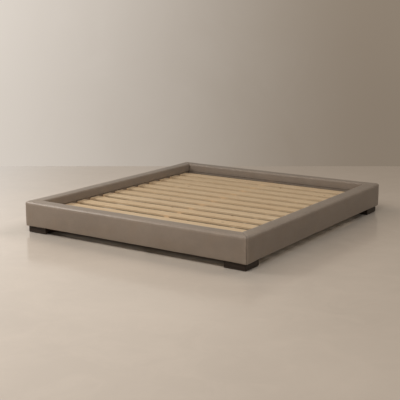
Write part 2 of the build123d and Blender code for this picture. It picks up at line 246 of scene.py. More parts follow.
class Finish(Graph):
    """Material whose nodes feed one Principled shader."""

    def __init__(self, name, **constants):
        self.material = bpy.data.materials.new(name)
        self.material.use_nodes = True
        super().__init__(self.material.node_tree)
        self.tree.nodes.clear()
        self.place = self.add("ShaderNodeTexCoord", out="Object")
        self.shader = self.add("ShaderNodeBsdfPrincipled", out=None)
        for key, value in constants.items():
            self.shader.inputs[key.replace("_", " ")].default_value = value
        self.output = self.add("ShaderNodeOutputMaterial", out=None)
        self.tree.links.new(self.shader.outputs[0], self.output.inputs[0])

    def noise(self, scale, detail=2, rough=0.5, at=None, warp=0):
        values = {"Vector": at or self.place, "Scale": scale, "Detail": detail, "Roughness": rough}
        values["Distortion"] = warp
        return self.add("ShaderNodeTexNoise", None, values)

    def cells(self, scale, feature="F1", at=None, out="Distance"):
        settings = {"feature": feature}
        return self.add("ShaderNodeTexVoronoi", settings, {"Vector": at or self.place, "Scale": scale}, out)

    def stretched(self, x, y, z):
        return self.vector("MULTIPLY", self.place, (x, y, z))

    def attribute(self, name):
        return self.add("ShaderNodeAttribute", {"attribute_name": name}, None, "Fac")

    def mix(self, factor, first, second, blend="MIX"):
        values = {"Factor": factor}
        for key, shade in (("A", first), ("B", second)):
            values[key] = shade if isinstance(shade, Link) else (*shade, 1)
        return self.add("ShaderNodeMix", {"data_type": "RGBA", "blend_type": blend}, values)

    def tint(self, shade, by):
        return self.mix(1.0, shade, by, "MULTIPLY")

    def bump(self, height, distance, strength):
        values = {"Height": height, "Distance": distance, "Strength": strength}
        return self.add("ShaderNodeBump", None, values)

    def see_through(self, hidden, front):
        """Make a backdrop's finish clear where hidden is 1."""
        clear = self.add("ShaderNodeBsdfTransparent")
        both = self.add("ShaderNodeMixShader", None, {0: hidden, 1: front, 2: clear})
        self.tree.links.new(both.socket, self.output.inputs[0])

    def set(self, **links):
        for key, value in links.items():
            self.tree.links.new(value.socket, self.shader.inputs[key.replace("_", " ")])
        return self.material


class Pattern(Graph):
    """Geometry node tree that sets a part on marked places, with named sizes."""

    def __init__(self, name, sizes):
        self.sizes = sizes
        super().__init__(bpy.data.node_groups.new(name, "GeometryNodeTree"))
        sockets = self.tree.interface
        sockets.new_socket("Geometry", in_out="INPUT", socket_type="NodeSocketGeometry")
        sockets.new_socket("Material", in_out="INPUT", socket_type="NodeSocketMaterial")
        for label, value in sizes.items():
            socket = sockets.new_socket(label, in_out="INPUT", socket_type="NodeSocketFloat")
            socket.subtype = "DISTANCE"
            socket.min_value = 0
            socket.default_value = value
        sockets.new_socket("Geometry", in_out="OUTPUT", socket_type="NodeSocketGeometry")
        self.entry = self.add("NodeGroupInput", out=None)

    def given(self, label):
        """Input of the tree by its name."""
        return Link(self, self.entry.outputs[label])

    def join_all(self, *shapes):
        node = self.add("GeometryNodeJoinGeometry", out=None)
        for shape in reversed(shapes):
            self.tree.links.new(shape.socket, node.inputs[0])
        return Link(self, node.outputs[0])

    def moved(self, shape, x=0, y=0, z=0):
        values = {"Geometry": shape, "Translation": self.join(x, y, z)}
        return self.add("GeometryNodeTransform", None, values)

    def turned(self, profile, sides):
        """Closed turned shape through (radius, height) pairs, given from the bottom to the top."""
        bands = []
        for (low_radius, low), (high_radius, high) in zip(profile, profile[1:]):
            values = {
                "Vertices": sides,
                "Radius Top": high_radius,
                "Radius Bottom": low_radius,
                "Depth": high - low,
            }
            band = self.add("GeometryNodeMeshCone", {"fill_type": "NONE"}, values)
            bands.append(self.moved(band, z=low))
        return self.welded(*bands)

    def welded(self, *shapes):
        values = {"Geometry": self.join_all(*shapes), "Distance": WELD}
        return self.add("GeometryNodeMergeByDistance", None, values)

    def raised(self, face, height):
        """Closed body between a flat face and its copy at a height."""
        values = {"Mesh": face, "Offset Scale": height, "Individual": False}
        node = self.add("GeometryNodeExtrudeMesh", {"mode": "FACES"}, values, None)
        return self.welded(Link(self, node.outputs[0]), self.add("GeometryNodeFlipFaces", None, {0: face}))

    def cut(self, shape, tool, operation="DIFFERENCE"):
        """Part of a shape that lies outside a tool, or inside it with INTERSECT."""
        node = self.add("GeometryNodeMeshBoolean", {"operation": operation, "solver": "EXACT"}, out=None)
        self.tree.links.new(tool.socket, node.inputs[1])
        self.tree.links.new(shape.socket, node.inputs[0 if operation == "DIFFERENCE" else 1])
        return Link(self, node.outputs[0])

    def thread(self, radius, depth, pitch, low, high):
        """Helical ridge with a pointed section between two heights."""
        rise = high - low
        values = {"Resolution": 14, "Rotations": rise / pitch, "Height": rise}
        values.update({"Start Radius": radius, "End Radius": radius})
        path = self.moved(self.add("GeometryNodeCurveSpiral", None, values), z=low)
        ridge = self.add("GeometryNodeCurvePrimitiveCircle", None, {"Resolution": 3, "Radius": depth})
        return self.add("GeometryNodeCurveToMesh", None, {0: path, 1: ridge, "Fill Caps": True})

    def close(self, part):
        """Set the part on every marked place, shade it and end the tree."""
        sharp_angle = math.radians(32)
        turn = self.add("GeometryNodeInputNamedAttribute", {"data_type": "FLOAT_VECTOR"}, {"Name": "turn"})
        turn = self.add("FunctionNodeEulerToRotation", None, {0: turn})
        values = {"Points": self.given("Geometry"), "Instance": part, "Rotation": turn}
        shape = self.add("GeometryNodeInstanceOnPoints", None, values)
        shape = self.add("GeometryNodeRealizeInstances", None, {0: shape})
        shape = self.add("GeometryNodeSetShadeSmooth", None, {"Geometry": shape, "Shade Smooth": True})
        angle = self.add("GeometryNodeInputMeshEdgeAngle", None, None, "Unsigned Angle")
        sharp = self.add("FunctionNodeCompare", {"operation": "GREATER_THAN"}, {0: angle, 1: sharp_angle})
        values = {"Geometry": shape, "Selection": sharp, "Shade Smooth": False}
        shape = self.add("GeometryNodeSetShadeSmooth", {"domain": "EDGE"}, values)
        values = {"Geometry": shape, "Material": self.given("Material")}
        shape = self.add("GeometryNodeSetMaterial", None, values)
        self.add("NodeGroupOutput", None, {0: shape}, None)

    def spread(self, name, places, material):
        """Bake the part on (point, turn) places into one plain mesh."""
        mesh = bpy.data.meshes.new(name)
        mesh.from_pydata([point for point, turn in places], [], [])
        turns = mesh.attributes.new("turn", "FLOAT_VECTOR", "POINT")
        for item, (point, turn) in zip(turns.data, places):
            item.vector = turn
        piece = new_object(name, mesh)
        modifier = piece.modifiers.new(name, "NODES")
        modifier.node_group = self.tree
        inputs = {**self.sizes, "Material": material}
        for item in self.tree.interface.items_tree:
            if item.in_out == "INPUT" and item.name in inputs:
                modifier[item.identifier] = inputs[item.name]
        bake(piece)
        return piece


# Meshes


def new_object(name, mesh):
    piece = bpy.data.objects.new(name, mesh)
    bpy.context.scene.collection.objects.link(piece)
    return piece


def bake(piece):
    """Turn a piece with its modifiers into a plain mesh."""
    graph = bpy.context.evaluated_depsgraph_get()
    shown = piece.evaluated_get(graph)
    mesh = bpy.data.meshes.new_from_object(shown, preserve_all_data_layers=True, depsgraph=graph)
    mesh.name = piece.name
    piece.modifiers.clear()
    piece.data = mesh


def settle_on(piece, slot, body, *nodes):
    """Give a piece its body and hide the nodes of the frame that it stands for. The slot is not used."""
    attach(piece, body)
    if nodes:
        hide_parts(*nodes)
    return piece


def dress(material, *nodes):
    """Give nodes of the frame a finish."""
    for node in nodes:
        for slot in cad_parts[node].material_slots:
            slot.material = material


def mesh_piece(name, points, faces, material, smooth=True):
    mesh = bpy.data.meshes.new(name)
    mesh.from_pydata(points, [], faces)
    mesh.materials.append(material)
    mesh.polygons.foreach_set("use_smooth", [smooth] * len(mesh.polygons))
    return new_object(name, mesh)


def turn_outwards(piece, weld=0.0):
    """Point the faces of a closed piece outwards, after its points are merged where weld gives a distance."""
    work = bmesh.new()
    work.from_mesh(piece.data)
    if weld:
        bmesh.ops.remove_doubles(work, verts=work.verts, dist=weld)
    bmesh.ops.recalc_face_normals(work, faces=work.faces)
    work.to_mesh(piece.data)
    work.free()


def turned_piece(name, profile, centre, sides, material):
    """Closed turned shape about an upright axis, through (radius, height) pairs from axis to axis."""
    points, faces = [], []
    for radius, height in profile:
        for step in range(sides):
            angle = FULL_TURN * step / sides
            offset = Vector((radius * math.cos(angle), radius * math.sin(angle), height))
            points.append(centre + offset)
    for row in range(len(profile) - 1):
        for step in range(sides):
            after = (step + 1) % sides
            low, high = row * sides, (row + 1) * sides
            faces.append((low + step, low + after, high + after, high + step))
    piece = mesh_piece(name, points, faces, material)
    turn_outwards(piece, WELD)
    return piece


def solids_of(node):
    """Box of each separate solid of a node."""
    work = bmesh.new()
    work.from_mesh(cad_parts[node].data)
    bmesh.ops.remove_doubles(work, verts=work.verts, dist=WELD)
    boxes, seen = [], set()
    for start in work.verts:
        if start in seen:
            continue
        seen.add(start)
        group, waiting = [], [start]
        while waiting:
            vertex = waiting.pop()
            group.append(vertex.co)
            for edge in vertex.link_edges:
                other = edge.other_vert(vertex)
                if other not in seen:
                    seen.add(other)
                    waiting.append(other)
        low = Vector([min(point[axis] for point in group) for axis in range(3)])
        high = Vector([max(point[axis] for point in group) for axis in range(3)])
        boxes.append((low, high))
    work.free()
    return sorted(boxes, key=lambda box: tuple(round(value, 4) for value in box[0]))


def turn_to(direction, spin):
    """Turn that points a part's own Z along a direction."""
    facing = direction.to_track_quat("Z", "Y").to_matrix()
    return tuple((facing @ Matrix.Rotation(spin, 3, "Z")).to_euler())


def fastener_places(node, head, upright_head):
    """Seat and turn of each fastener of a node: heads face the middle, or upright ones the given way."""
    places = []
    for low, high in solids_of(node):
        sizes = high - low
        axis = max(range(3), key=lambda index: sizes[index])
        centre = (low + high) / 2
        way = Vector((0, 0, 0))
        way[axis] = upright_head if axis == 2 else (-1 if centre[axis] > 0 else 1)
        seat = centre.copy()
        seat[axis] = high[axis] if way[axis] > 0 else low[axis]
        places.append((seat - way * head, turn_to(way, random.random() * math.pi)))
    return places


# Rails


class Row(NamedTuple):
    """Line along a cover, at one point of its section."""

    depth: float
    height: float
    inward: Vector
    roundness: float  # 1 on a bend and 0 on a flat


class Column(NamedTuple):
    """Line across a cover, at a reach from the mitre of one end, or a share of the way on to the middle."""

    end: int  # 1 or -1
    reach: float
    dip: float  # how far it is turned in to the seam
    share: float = 0.0

    @property
    def near(self):
        """Distance from the mitre, or 1 m for the columns that are too far for it to matter."""
        return 1 if self.share else self.reach

    def along(self, rail, depth):
        """Distance from the mitre at a depth."""
        return self.reach + self.share * (rail_reach(rail, depth) - self.reach)


def rail_point(rail, end, depth, height, reach):
    """Point at a depth behind a rail's outer face, at a reach from the mitre at one end of it."""
    rail_length, distance, turn = rails[rail]
    corner = bpy.context.scene.bed_covers.corner_radius
    radius = max(corner - depth, 0)
    arc = radius * math.pi / 4
    if reach < arc:
        angle = math.pi / 4 - reach / radius
        x = rail_length / 2 - corner + radius * math.sin(angle)
        y = corner - radius * math.cos(angle)
    else:
        x = rail_length / 2 - max(depth, corner) - (reach - arc)
        y = depth
    return Matrix.Rotation(math.radians(turn), 3, "Z") @ Vector((end * x, y - distance, height))


def rail_reach(rail, depth):
    """Distance along a rail from its mitre to its middle, at a depth."""
    corner = bpy.context.scene.bed_covers.corner_radius
    radius = max(corner - depth, 0)
    return rails[rail][0] / 2 - max(depth, corner) + radius * math.pi / 4


def straight(start, stop, count):
    """Rows on a line between two (depth, height) points, without its last one."""
    (depth, height), (last_depth, last_height) = start, stop
    run = Vector((last_depth - depth, last_height - height))
    inward = Vector((run.y, -run.x)).normalized()
    places = [(depth + run.x * step / count, height + run.y * step / count) for step in range(count)]
    return [Row(*place, inward, 0.0) for place in places]


def bend(centre, radius, start, stop, count):
    """Rows on an arc between two angles in degrees, without its last one."""
    rows = []
    for step in range(count):
        angle = math.radians(start + (stop - start) * step / count)
        way = Vector((math.cos(angle), math.sin(angle)))
        inward = -way if stop < start else way
        rows.append(Row(centre[0] + radius * way.x, centre[1] + radius * way.y, inward, 1.0))
    return rows


def cover_section():
    """Section of a cover's outside, from its flap under the rail to its tail on the inner board."""
    s = bpy.context.scene.bed_covers
    edge, hem, rim = s.edge_radius, s.hem_radius, s.rim_radius
    fold, tuck = 2.5 * MM, 1.8 * MM
    face = board_depth + s.leather
    rows = straight((s.flap, rail_bottom), (hem, rail_bottom), 2)
    rows += bend((hem, rail_bottom + hem), hem, 270, 180, 6)
    rows += straight((0, rail_bottom + hem), (0, rail_top - edge), 16)
    rows += bend((edge, rail_top - edge), edge, 180, 90, 8)
    rows += straight((edge, rail_top), (rail_thickness - rim, rail_top), 8)
    rows += bend((rail_thickness - rim, rail_top - rim), rim, 90, 0, 6)
    rows += straight((rail_thickness, rail_top - rim), (rail_thickness, s.lip + fold), 6)
    rows += bend((rail_thickness - fold, s.lip + fold), fold, 0, -90, 3)
    rows += straight((rail_thickness - fold, s.lip), (face + tuck, s.lip), 1)
    rows += bend((face + tuck, s.lip - tuck), tuck, 90, 180, 3)
    rows += straight((face, s.lip - tuck), (face, s.lip - s.tail), 3)
    rows.append(Row(face, s.lip - s.tail, rows[-1].inward, 0.0))
    return rows


def cover_columns(rail):
    """Columns from one mitre to the other, close together beside the seams."""
    s = bpy.context.scene.bed_covers
    even_step = 17 * MM
    turned_in = [(0.25 * MM, 7 * MM), (0.25 * MM, 3.6 * MM), (0.3 * MM, 1.9 * MM), (0.7 * MM, 0.9 * MM)]
    rounding = [(0.45 * s.seam, 0.35 * MM), (s.seam, 0)]
    reaches = [5.5, 8, 11.5, 16, 22, 29, 38, 49, 62, 77, 93, 111, 130]
    half = turned_in + rounding + [(reach * MM, 0) for reach in reaches]
    last = half[-1][0]
    count = round((rails[rail][0] / 2 - last) / even_step)
    half += [(last, 0, step / count) for step in range(1, count + 1)]
    left = [Column(-1, *column) for column in half]
    right = [Column(1, *column) for column in half[:-1]]
    return left + right[::-1]


def grid_faces(rows, columns):
    faces = []
    for row in range(rows - 1):
        for column in range(columns - 1):
            low, high = row * columns + column, (row + 1) * columns + column
            faces.append((low, low + 1, high + 1, high))
    return faces


def cover_grid(rail, rows, columns):
    """Points of a cover's outside, row by row."""
    s = bpy.context.scene.bed_covers
    seam_reach = 2 * MM  # the columns that turn in to the seam
    rise, fade = 6 * MM, 90 * MM  # where the fullness beside a mitre starts and ends
    full_above = rail_top - 60 * MM  # and how far it goes down in the well
    points = []
    for row in rows:
        for column in columns:
            out = 0
            if rail_bottom < row.height and row.depth < board_depth or row.height > full_above:
                out = s.fullness * (1 - math.exp(-column.near / rise)) * math.exp(-column.near / fade)
            at = row.depth + row.inward.x * (column.dip - out)
            up = row.height + row.inward.y * (column.dip - out)
            along = column.along(rail, row.depth)
            if column.reach < seam_reach and row.depth >= s.corner_radius:
                along *= math.sqrt(2)  # the reach is then measured square to the mitre
            points.append(rail_point(rail, column.end, at, up, along))
    return points


def swell(piece, fixed, limit):
    """Let a cover swell over its foam as cloth under pressure, held at its seams and staples."""
    frames = 12
    usual_share, most_share = 0.98, 1.6  # moves that stay under the limit, and what the largest are cut to
    held = piece.vertex_groups.new(name="held")
    held.add(fixed, 1.0, "REPLACE")
    start = [vertex.co.copy() for vertex in piece.data.vertices]
    modifier = piece.modifiers.new("Cloth", "CLOTH")
    cloth = modifier.settings
    cloth.quality = 4
    cloth.mass = 0.5
    cloth.tension_stiffness = 30
    cloth.compression_stiffness = 30
    cloth.shear_stiffness = 12
    cloth.bending_stiffness = 4
    cloth.use_pressure = True
    cloth.uniform_pressure_force = 3
    cloth.vertex_group_mass = "held"
    cloth.effector_weights.gravity = 0
    scene = bpy.context.scene
    modifier.point_cache.frame_start = 1
    modifier.point_cache.frame_end = frames
    for step in range(1, frames + 1):
        scene.frame_set(step)
    graph = bpy.context.evaluated_depsgraph_get()
    result = [vertex.co.copy() for vertex in piece.evaluated_get(graph).data.vertices]
    piece.modifiers.clear()
    piece.vertex_groups.clear()
    scene.frame_set(1)
    moves = [after - before for before, after in zip(start, result)]
    usual = sorted(move.length for move in moves)[int(len(moves) * usual_share)]
    share = limit / usual if usual > WELD else 0
    for vertex, before, move in zip(piece.data.vertices, start, moves):
        move = move * share
        if move.length > most_share * limit:
            move = move.normalized() * most_share * limit
        vertex.co = before + move


def crease(piece, rail, rows, columns):
    """Soft waves of a taut hide, pulls above the staples and puckers beside the mitres."""
    seed = Vector((RAILS.index(rail) * 7.3, 2.1, 5.7))
    lying_on_board = rail_top - 55 * MM
    staple_pull, seam_pucker, seam_pull = 26 * MM, 20 * MM, 70 * MM
    normals = [vertex.normal.copy() for vertex in piece.data.vertices]
    for index, vertex in enumerate(piece.data.vertices):
        line, column = divmod(index, len(columns))
        depth, height = rows[line][:2]
        near, dip = columns[column].near, columns[column].dip
        if dip > 1 * MM or line in (0, len(rows) - 1) or depth > board_depth and height < lying_on_board:
            continue
        place = vertex.co + seed
        wave = 0.9 * noise.noise(place * 4.5) + 0.45 * noise.noise(place * 11)
        wave += 0.16 * noise.noise(Vector((place.x * 30, place.y * 30, place.z * 22)))
        low = max(height - rail_bottom, 0)
        along = vertex.co.x if rail in ("front", "back") else vertex.co.y
        pull = math.exp(-low / staple_pull) * noise.noise(Vector((along * 21, seed.x, low * 5)))
        pucker = math.exp(-near / seam_pucker) * noise.noise(Vector((height * 90, depth * 90, seed.x)))
        fold = noise.noise(Vector((height * 34 + along * 6, depth * 40, seed.x + 3)))
        fold *= math.exp(-near / seam_pull)
        vertex.co += normals[index] * MM * (0.8 * wave + 0.9 * pull + 0.5 * pucker + 0.7 * fold)


def leather_finish(s):
    f = Finish("taupe_leather", Specular_IOR_Level=0.38, Coat_Weight=0.25, Coat_Roughness=0.32,
               Sheen_Weight=0.06, Sheen_Roughness=0.4)
    clouds = f.noise(3.4, 4, 0.55)
    mottle = f.noise(21, 4, 0.55)
    speck = f.noise(150, 3, 0.6)
    base = Vector(s.leather_colour)
    tone = f.smooth(0.6 * clouds + 0.3 * mottle + 0.1 * speck, 0.36, 0.64)
    shade = f.mix(tone, base * 0.92, base * 1.06)
    warm = f.smooth(f.noise(9, 3, 0.5, at=f.vector("ADD", f.place, (3.1, 1.7, 9.2))), 0.45, 0.75)
    shade = f.mix(warm * 0.35, shade, (base.x * 1.06, base.y * 0.98, base.z * 0.88))
    seam = f.attribute("seam")
    edge = f.attribute("edge")
    wander = f.add("ShaderNodeTexNoise", None, {"Vector": f.place, "Scale": 160.0}, "Color")
    wander = f.vector("MULTIPLY", wander, (4 * MM, 4 * MM, 4 * MM))
    grain_place = f.vector("ADD", f.place, wander)
    pebble = f.smooth(f.cells(430, "DISTANCE_TO_EDGE", grain_place), 0.0, 0.11)
    pores = f.smooth(f.cells(1250, at=grain_place), 0.1, 0.42)
    furrow = f.smooth(f.noise(64, 4, 0.55, warp=0.6), 0.42, 0.6)
    shade = f.mix((1 - pebble) * 0.22, shade, base * 0.62)
    # Lighter on the bends and beside the mitres: partly rubbed wear, partly a painted highlight along the
    # edges and corners.
    rubbed_and_highlit = edge * (0.2 + 0.45 * f.smooth(f.noise(40, 4, 0.6), 0.35, 0.7))
    shade = f.mix(rubbed_and_highlit, shade, base * 1.28)
    # Much darker in the seams: painted shade in their creases, with some dirt.
    shade = f.mix(seam * 0.72, shade, base * 0.34)
    height = 0.55 * pebble + 0.2 * pores + 0.25 * furrow
    normal = f.bump(height, 0.28 * MM, 0.55)
    rough = 0.4 + 0.1 * mottle + 0.07 * (1 - pebble) + 0.06 * clouds - 0.07 * edge
    return f.set(Base_Color=shade, Roughness=rough, Normal=normal)


def foam_finish(s):
    f = Finish("upholstery_foam", Roughness=0.95, Specular_IOR_Level=0.15)
    base = Vector(s.foam_colour)
    holes = f.smooth(f.cells(900), 0.05, 0.45)
    shade = f.mix(holes, base * 0.72, base * 1.08)
    shade = f.mix(f.smooth(f.noise(12, 3), 0.3, 0.7) * 0.4, shade, (base.x, base.y * 0.9, base.z * 0.75))
    return f.set(Base_Color=shade, Normal=f.bump(holes, 0.6 * MM, 0.8))


def make_cover(rail, leather, foam, s):
    """Leather skin of a rail, and the foam layer under it."""
    rows, columns = cover_section(), cover_columns(rail)
    points = cover_grid(rail, rows, columns)
    piece = mesh_piece(rail + "_leather_skin", points, grid_faces(len(rows), len(columns)), leather)
    middle_row = next(line for line, row in enumerate(rows) if row.depth < MM and row.height > rail_top / 2)
    face = piece.data.polygons[middle_row * (len(columns) - 1) + len(columns) // 2]
    away = rail_point(rail, 1, 0, rail_top / 2, rails[rail][0] / 2)
    if face.normal.dot(Vector((away.x, away.y, 0))) < 0:
        piece.data.flip_normals()
    tail_top, flap_top = s.lip + 6 * MM, rail_bottom + 1 * MM
    seam_dip, edge_reach = 1.2 * MM, 26 * MM
    fixed, seam, edge = [], [], []
    for row in rows:
        tail = row.depth > board_depth and row.height < tail_top
        flap = row.depth > s.edge_radius and row.height < flap_top
        for column in columns:
            if tail or flap or column.dip > 0:
                fixed.append(len(seam))
            # seam marks where the finish paints shade in the seam's crease.
            seam.append(min(column.dip / seam_dip, 1.0))
            # edge is 1 on the bends and beside a mitre, where the leather gets its wear and its painted
            # highlight.
            edge.append(max(row.roundness, math.exp(-(column.near / edge_reach) ** 2)))
    swell(piece, fixed, s.crown)
    crease(piece, rail, rows, columns)
    for name, values in (("seam", seam), ("edge", edge)):
        piece.data.attributes.new(name, "FLOAT", "POINT").data.foreach_set("value", values)
    layer = make_foam(piece, rail, rows, columns, foam, s)
    subdivision = piece.modifiers.new("Subdivision", "SUBSURF")
    subdivision.levels = subdivision.render_levels = 1
    thickness = piece.modifiers.new("Thickness", "SOLIDIFY")
    thickness.thickness = s.leather
    thickness.offset = -1
    bake(piece)
    return piece, layer


def make_foam(cover, rail, rows, columns, material, s):
    """Foam between a cover and the boards, as a closed ring swept along the rail."""
    under_leather, every_row = s.leather + 0.3 * MM, 2
    low = rail_bottom + 2.2 * MM
    top = s.lip + 2 * MM
    outer = [line for line, row in enumerate(rows)
             if row.height > top or row.height <= s.lip and row.depth < board_outer][::every_row]
    inner = [(board_depth, top), (board_depth, board_top), (board_outer, board_top), (board_outer, low)]
    used = [index for index, column in enumerate(columns) if column.dip == 0]
    points, faces = [], []
    for index in used:
        column = columns[index]
        for line in outer:
            vertex = cover.data.vertices[line * len(columns) + index]
            points.append(vertex.co - vertex.normal * under_leather)
        for depth, height in inner:
            points.append(rail_point(rail, column.end, depth, height, column.along(rail, depth)))
    ring = len(outer) + len(inner)
    for part in range(len(used) - 1):
        for step in range(ring):
            after = (step + 1) % ring
            low_ring, high_ring = part * ring, (part + 1) * ring
            faces.append((low_ring + step, high_ring + step, high_ring + after, low_ring + after))
    faces.append(tuple(range(ring)))
    faces.append(tuple(reversed(range(len(points) - ring, len(points)))))
    piece = mesh_piece(rail + "_foam_layer", points, faces, material)
    turn_outwards(piece)
    piece.data.set_sharp_from_angle(angle=math.radians(40))
    return piece


class BED_OT_covers(bpy.types.Operator):
    """Cover the four rails with leather over foam"""

    bl_idname = "bed.covers"
    bl_label = "Leather Covers"
    bl_options = {"REGISTER", "UNDO"}

    def execute(self, context):
        s = context.scene.bed_covers
        leather, soft = leather_finish(s), foam_finish(s)
        for rail in RAILS:
            cover, foam = make_cover(rail, leather, soft, s)
            settle_on(cover, "leather", BODY, rail + "_leather_cover")
            settle_on(foam, "foam", BODY, rail + "_foam_wrap")
        return {"FINISHED"}


# Wood


def pine_finish(name, s, grain, lane_pitch, lane_start=0.0):
    """Planed pine. grain is the axis of its fibres, and each lane across them is a member of its own."""
    f = Finish(name, Specular_IOR_Level=0.3)
    x, y, z = f.split(f.place)
    along, across = (x, y) if grain == 0 else (y, x)
    shifted = across / lane_pitch - lane_start / lane_pitch
    lane = f.maths("ROUND", shifted)
    local = (shifted - lane) * lane_pitch
    chance = f.add("ShaderNodeTexWhiteNoise", {"noise_dimensions": "1D"}, {"W": lane}, "Color")
    first, second, third = f.split(chance)
    drift = f.noise(1.9, at=f.join(along, lane * 3.7, z * 2)) - 0.5
    flow = f.noise(5, 3, at=f.join(along, local * 9, lane * 5.1 + z * 6)) - 0.5
    knot = f.cells(5.2, at=f.join(along, local * 1.6 + lane * 1.93, z * 1.4))
    bulge = f.smooth(knot, 0.22, 0.0)
    heart = (first - 0.5) * (70 * MM) + drift * (35 * MM)
    side = local - heart + flow * (6 * MM) + bulge * (6 * MM)
    low = z - slat_low.z + 12 * MM + second * (45 * MM) + drift * (12 * MM)
    radius = f.maths("SQRT", side * side + low * low)
    ring = f.maths("FRACT", radius / s.ring_width + third * 9 + flow * 0.8)
    late = f.smooth(ring, 0.35, 0.93) * (1 - f.smooth(ring, 0.93, 1.0))
    fine = (9, 420, 420) if grain == 0 else (420, 9, 420)
    fibre = f.noise(1, 3, 0.6, at=f.stretched(*fine))
    fleck = f.noise(1, at=f.stretched(*[value * 2.2 for value in fine]))
    pale, dark = Vector(s.pine_colour), Vector(s.late_colour)
    shade = f.mix(late * (0.42 + 0.5 * f.noise(7, 2)), pale, dark)
    shade = f.mix(f.smooth(fibre, 0.35, 0.7) * 0.28, shade, pale * 1.12)
    shade = f.mix(f.smooth(fleck, 0.6, 0.75) * 0.2, shade, dark * 0.8)
    ripe = f.smooth(first + f.noise(3, 2) * 0.6, 0.2, 1.4)
    shade = f.mix(ripe * 0.3, shade, (pale.x * 0.94, pale.y * 0.86, pale.z * 0.76))
    core = f.smooth(knot, 0.062, 0.04)
    halo = f.smooth(knot, 0.13, 0.05)
    shade = f.mix(halo * 0.3, shade, dark * 0.9)
    shade = f.mix(core * 0.85, shade, (0.2, 0.1, 0.05))
    height = fibre * 0.5 - late * 0.35 - core * 0.3
    rough = 0.55 - late * 0.08 + 0.08 * fibre
    return f.set(Base_Color=shade, Roughness=rough, Normal=f.bump(height, 0.25 * MM, 0.5))


def plywood_finish(name, s, thick_axis, start):
    """Birch plywood. thick_axis is the one that its layers are stacked along."""
    f = Finish(name, Specular_IOR_Level=0.3)
    layer_pair = 2.9 * MM
    facing = f.split(f.add("ShaderNodeTexCoord", out="Normal"))
    depth = abs(f.split(f.place)[thick_axis]) - start
    layer = f.maths("FRACT", depth / layer_pair)
    stripe = f.smooth(layer, 0.42, 0.5) * (1 - f.smooth(layer, 0.94, 1.0))
    edge = 1 - f.smooth(abs(facing[thick_axis]), 0.5, 0.8)
    scale = (60, 60, 9) if thick_axis == 2 else (4, 4, 70)
    grain = f.noise(1, 4, 0.6, at=f.stretched(*scale), warp=1.2)
    fine = f.noise(1, 3, 0.6, at=f.stretched(*[value * 9 for value in scale]))
    base = Vector(s.birch_colour)
    face = f.mix(f.smooth(grain, 0.3, 0.7) * 0.6, base * 1.06, base * 0.82)
    face = f.mix(f.smooth(fine, 0.5, 0.75) * 0.25, face, base * 0.7)
    cut = f.mix(stripe * (0.6 + 0.4 * fine), base * 0.95, (base.x * 0.5, base.y * 0.4, base.z * 0.32))
    normal = f.bump(fine * 0.4 + edge * stripe * 0.6, 0.3 * MM, 0.6)
    return f.set(Base_Color=f.mix(edge, face, cut), Roughness=0.5 + 0.12 * fine, Normal=normal)


def stained_finish(s):
    f = Finish("dark_stained_wood", Specular_IOR_Level=0.26)
    grain = f.noise(1, 4, 0.6, at=f.stretched(7, 60, 90), warp=0.8)
    pores = f.noise(1, 3, 0.7, at=f.stretched(30, 900, 900))
    worn = f.smooth(f.split(f.place)[2], 7 * MM, 3 * MM)
    base = Vector(s.stain_colour)
    shade = f.mix(f.smooth(grain, 0.35, 0.68), base * 0.62, base * 1.3)
    shade = f.mix(f.smooth(pores, 0.58, 0.72) * 0.7, shade, base * 0.4)
    shade = f.mix(worn * f.smooth(f.noise(220, 2), 0.5, 0.7) * 0.35, shade, base * 3)
    rough = 0.36 + 0.14 * grain + 0.1 * f.smooth(pores, 0.5, 0.7)
    height = 1 - f.smooth(pores, 0.56, 0.72)
    return f.set(Base_Color=shade, Roughness=rough, Normal=f.bump(height, 0.3 * MM, 0.45))


class BED_OT_boards(bpy.types.Operator):
    """Finish the boards and blocks inside the rails"""

    bl_idname = "bed.boards"
    bl_label = "Rail Boards"
    bl_options = {"REGISTER", "UNDO"}

    def execute(self, context):
        s = context.scene.bed_woods
        cross = plywood_finish("birch_plywood_ends", s, 1, half_length - board_depth)
        side = plywood_finish("birch_plywood_sides", s, 0, half_width - board_depth)
        flat = plywood_finish("birch_plywood_tops", s, 2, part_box("back_top_board")[0].z)
        block = pine_finish("pine_blocks", s, grain=1, lane_pitch=0.3)
        for rail in RAILS:
            upright = cross if rail in ENDS else side
            dress(upright, rail + "_outer_board", rail + "_inner_board")
            dress(flat, rail + "_top_board")
            dress(block, rail + "_end_blocks")
        return {"FINISHED"}


class BED_OT_feet(bpy.types.Operator):
    """Stain the block feet and put felt under them"""

    bl_idname = "bed.feet"
    bl_label = "Block Feet"
    bl_options = {"REGISTER", "UNDO"}

    def execute(self, context):
        dress(stained_finish(context.scene.bed_woods), *[corner + "_foot" for corner in CORNERS])
        material = felt_finish(context.scene.bed_cloths)
        quarter = math.pi / 2
        pads = solids_of("felt_pads")
        low, high = pads[0]
        pattern = felt_pattern(high.x - low.x, high.z - low.z)
        for low, high in pads:
            centre = (low + high) / 2
            turn = int(math.atan2(centre.y, centre.x) // quarter) % len(CORNERS)
            place = (Vector((centre.x, centre.y, low.z)), (0, 0, turn * quarter))
            pad = pattern.spread(CORNERS[turn] + "_felt", [place], material)
            settle_on(pad, "felt", BODY, "felt_pads")
        return {"FINISHED"}


class BED_OT_slats(bpy.types.Operator):
    """Finish the slats, their ledgers and the centre beam"""

    bl_idname = "bed.slats"
    bl_label = "Slats and Beams"
    bl_options = {"REGISTER", "UNDO"}

    def execute(self, context):
        s = context.scene.bed_woods
        dress(pine_finish("pine_slats", s, 0, slat_pitch, slat_middle[0]), *slats)
        beams = pine_finish("pine_beams", s, grain=1, lane_pitch=0.9)
        dress(beams, "left_ledger", "right_ledger", "centre_beam")
        return {"FINISHED"}


# Cloth


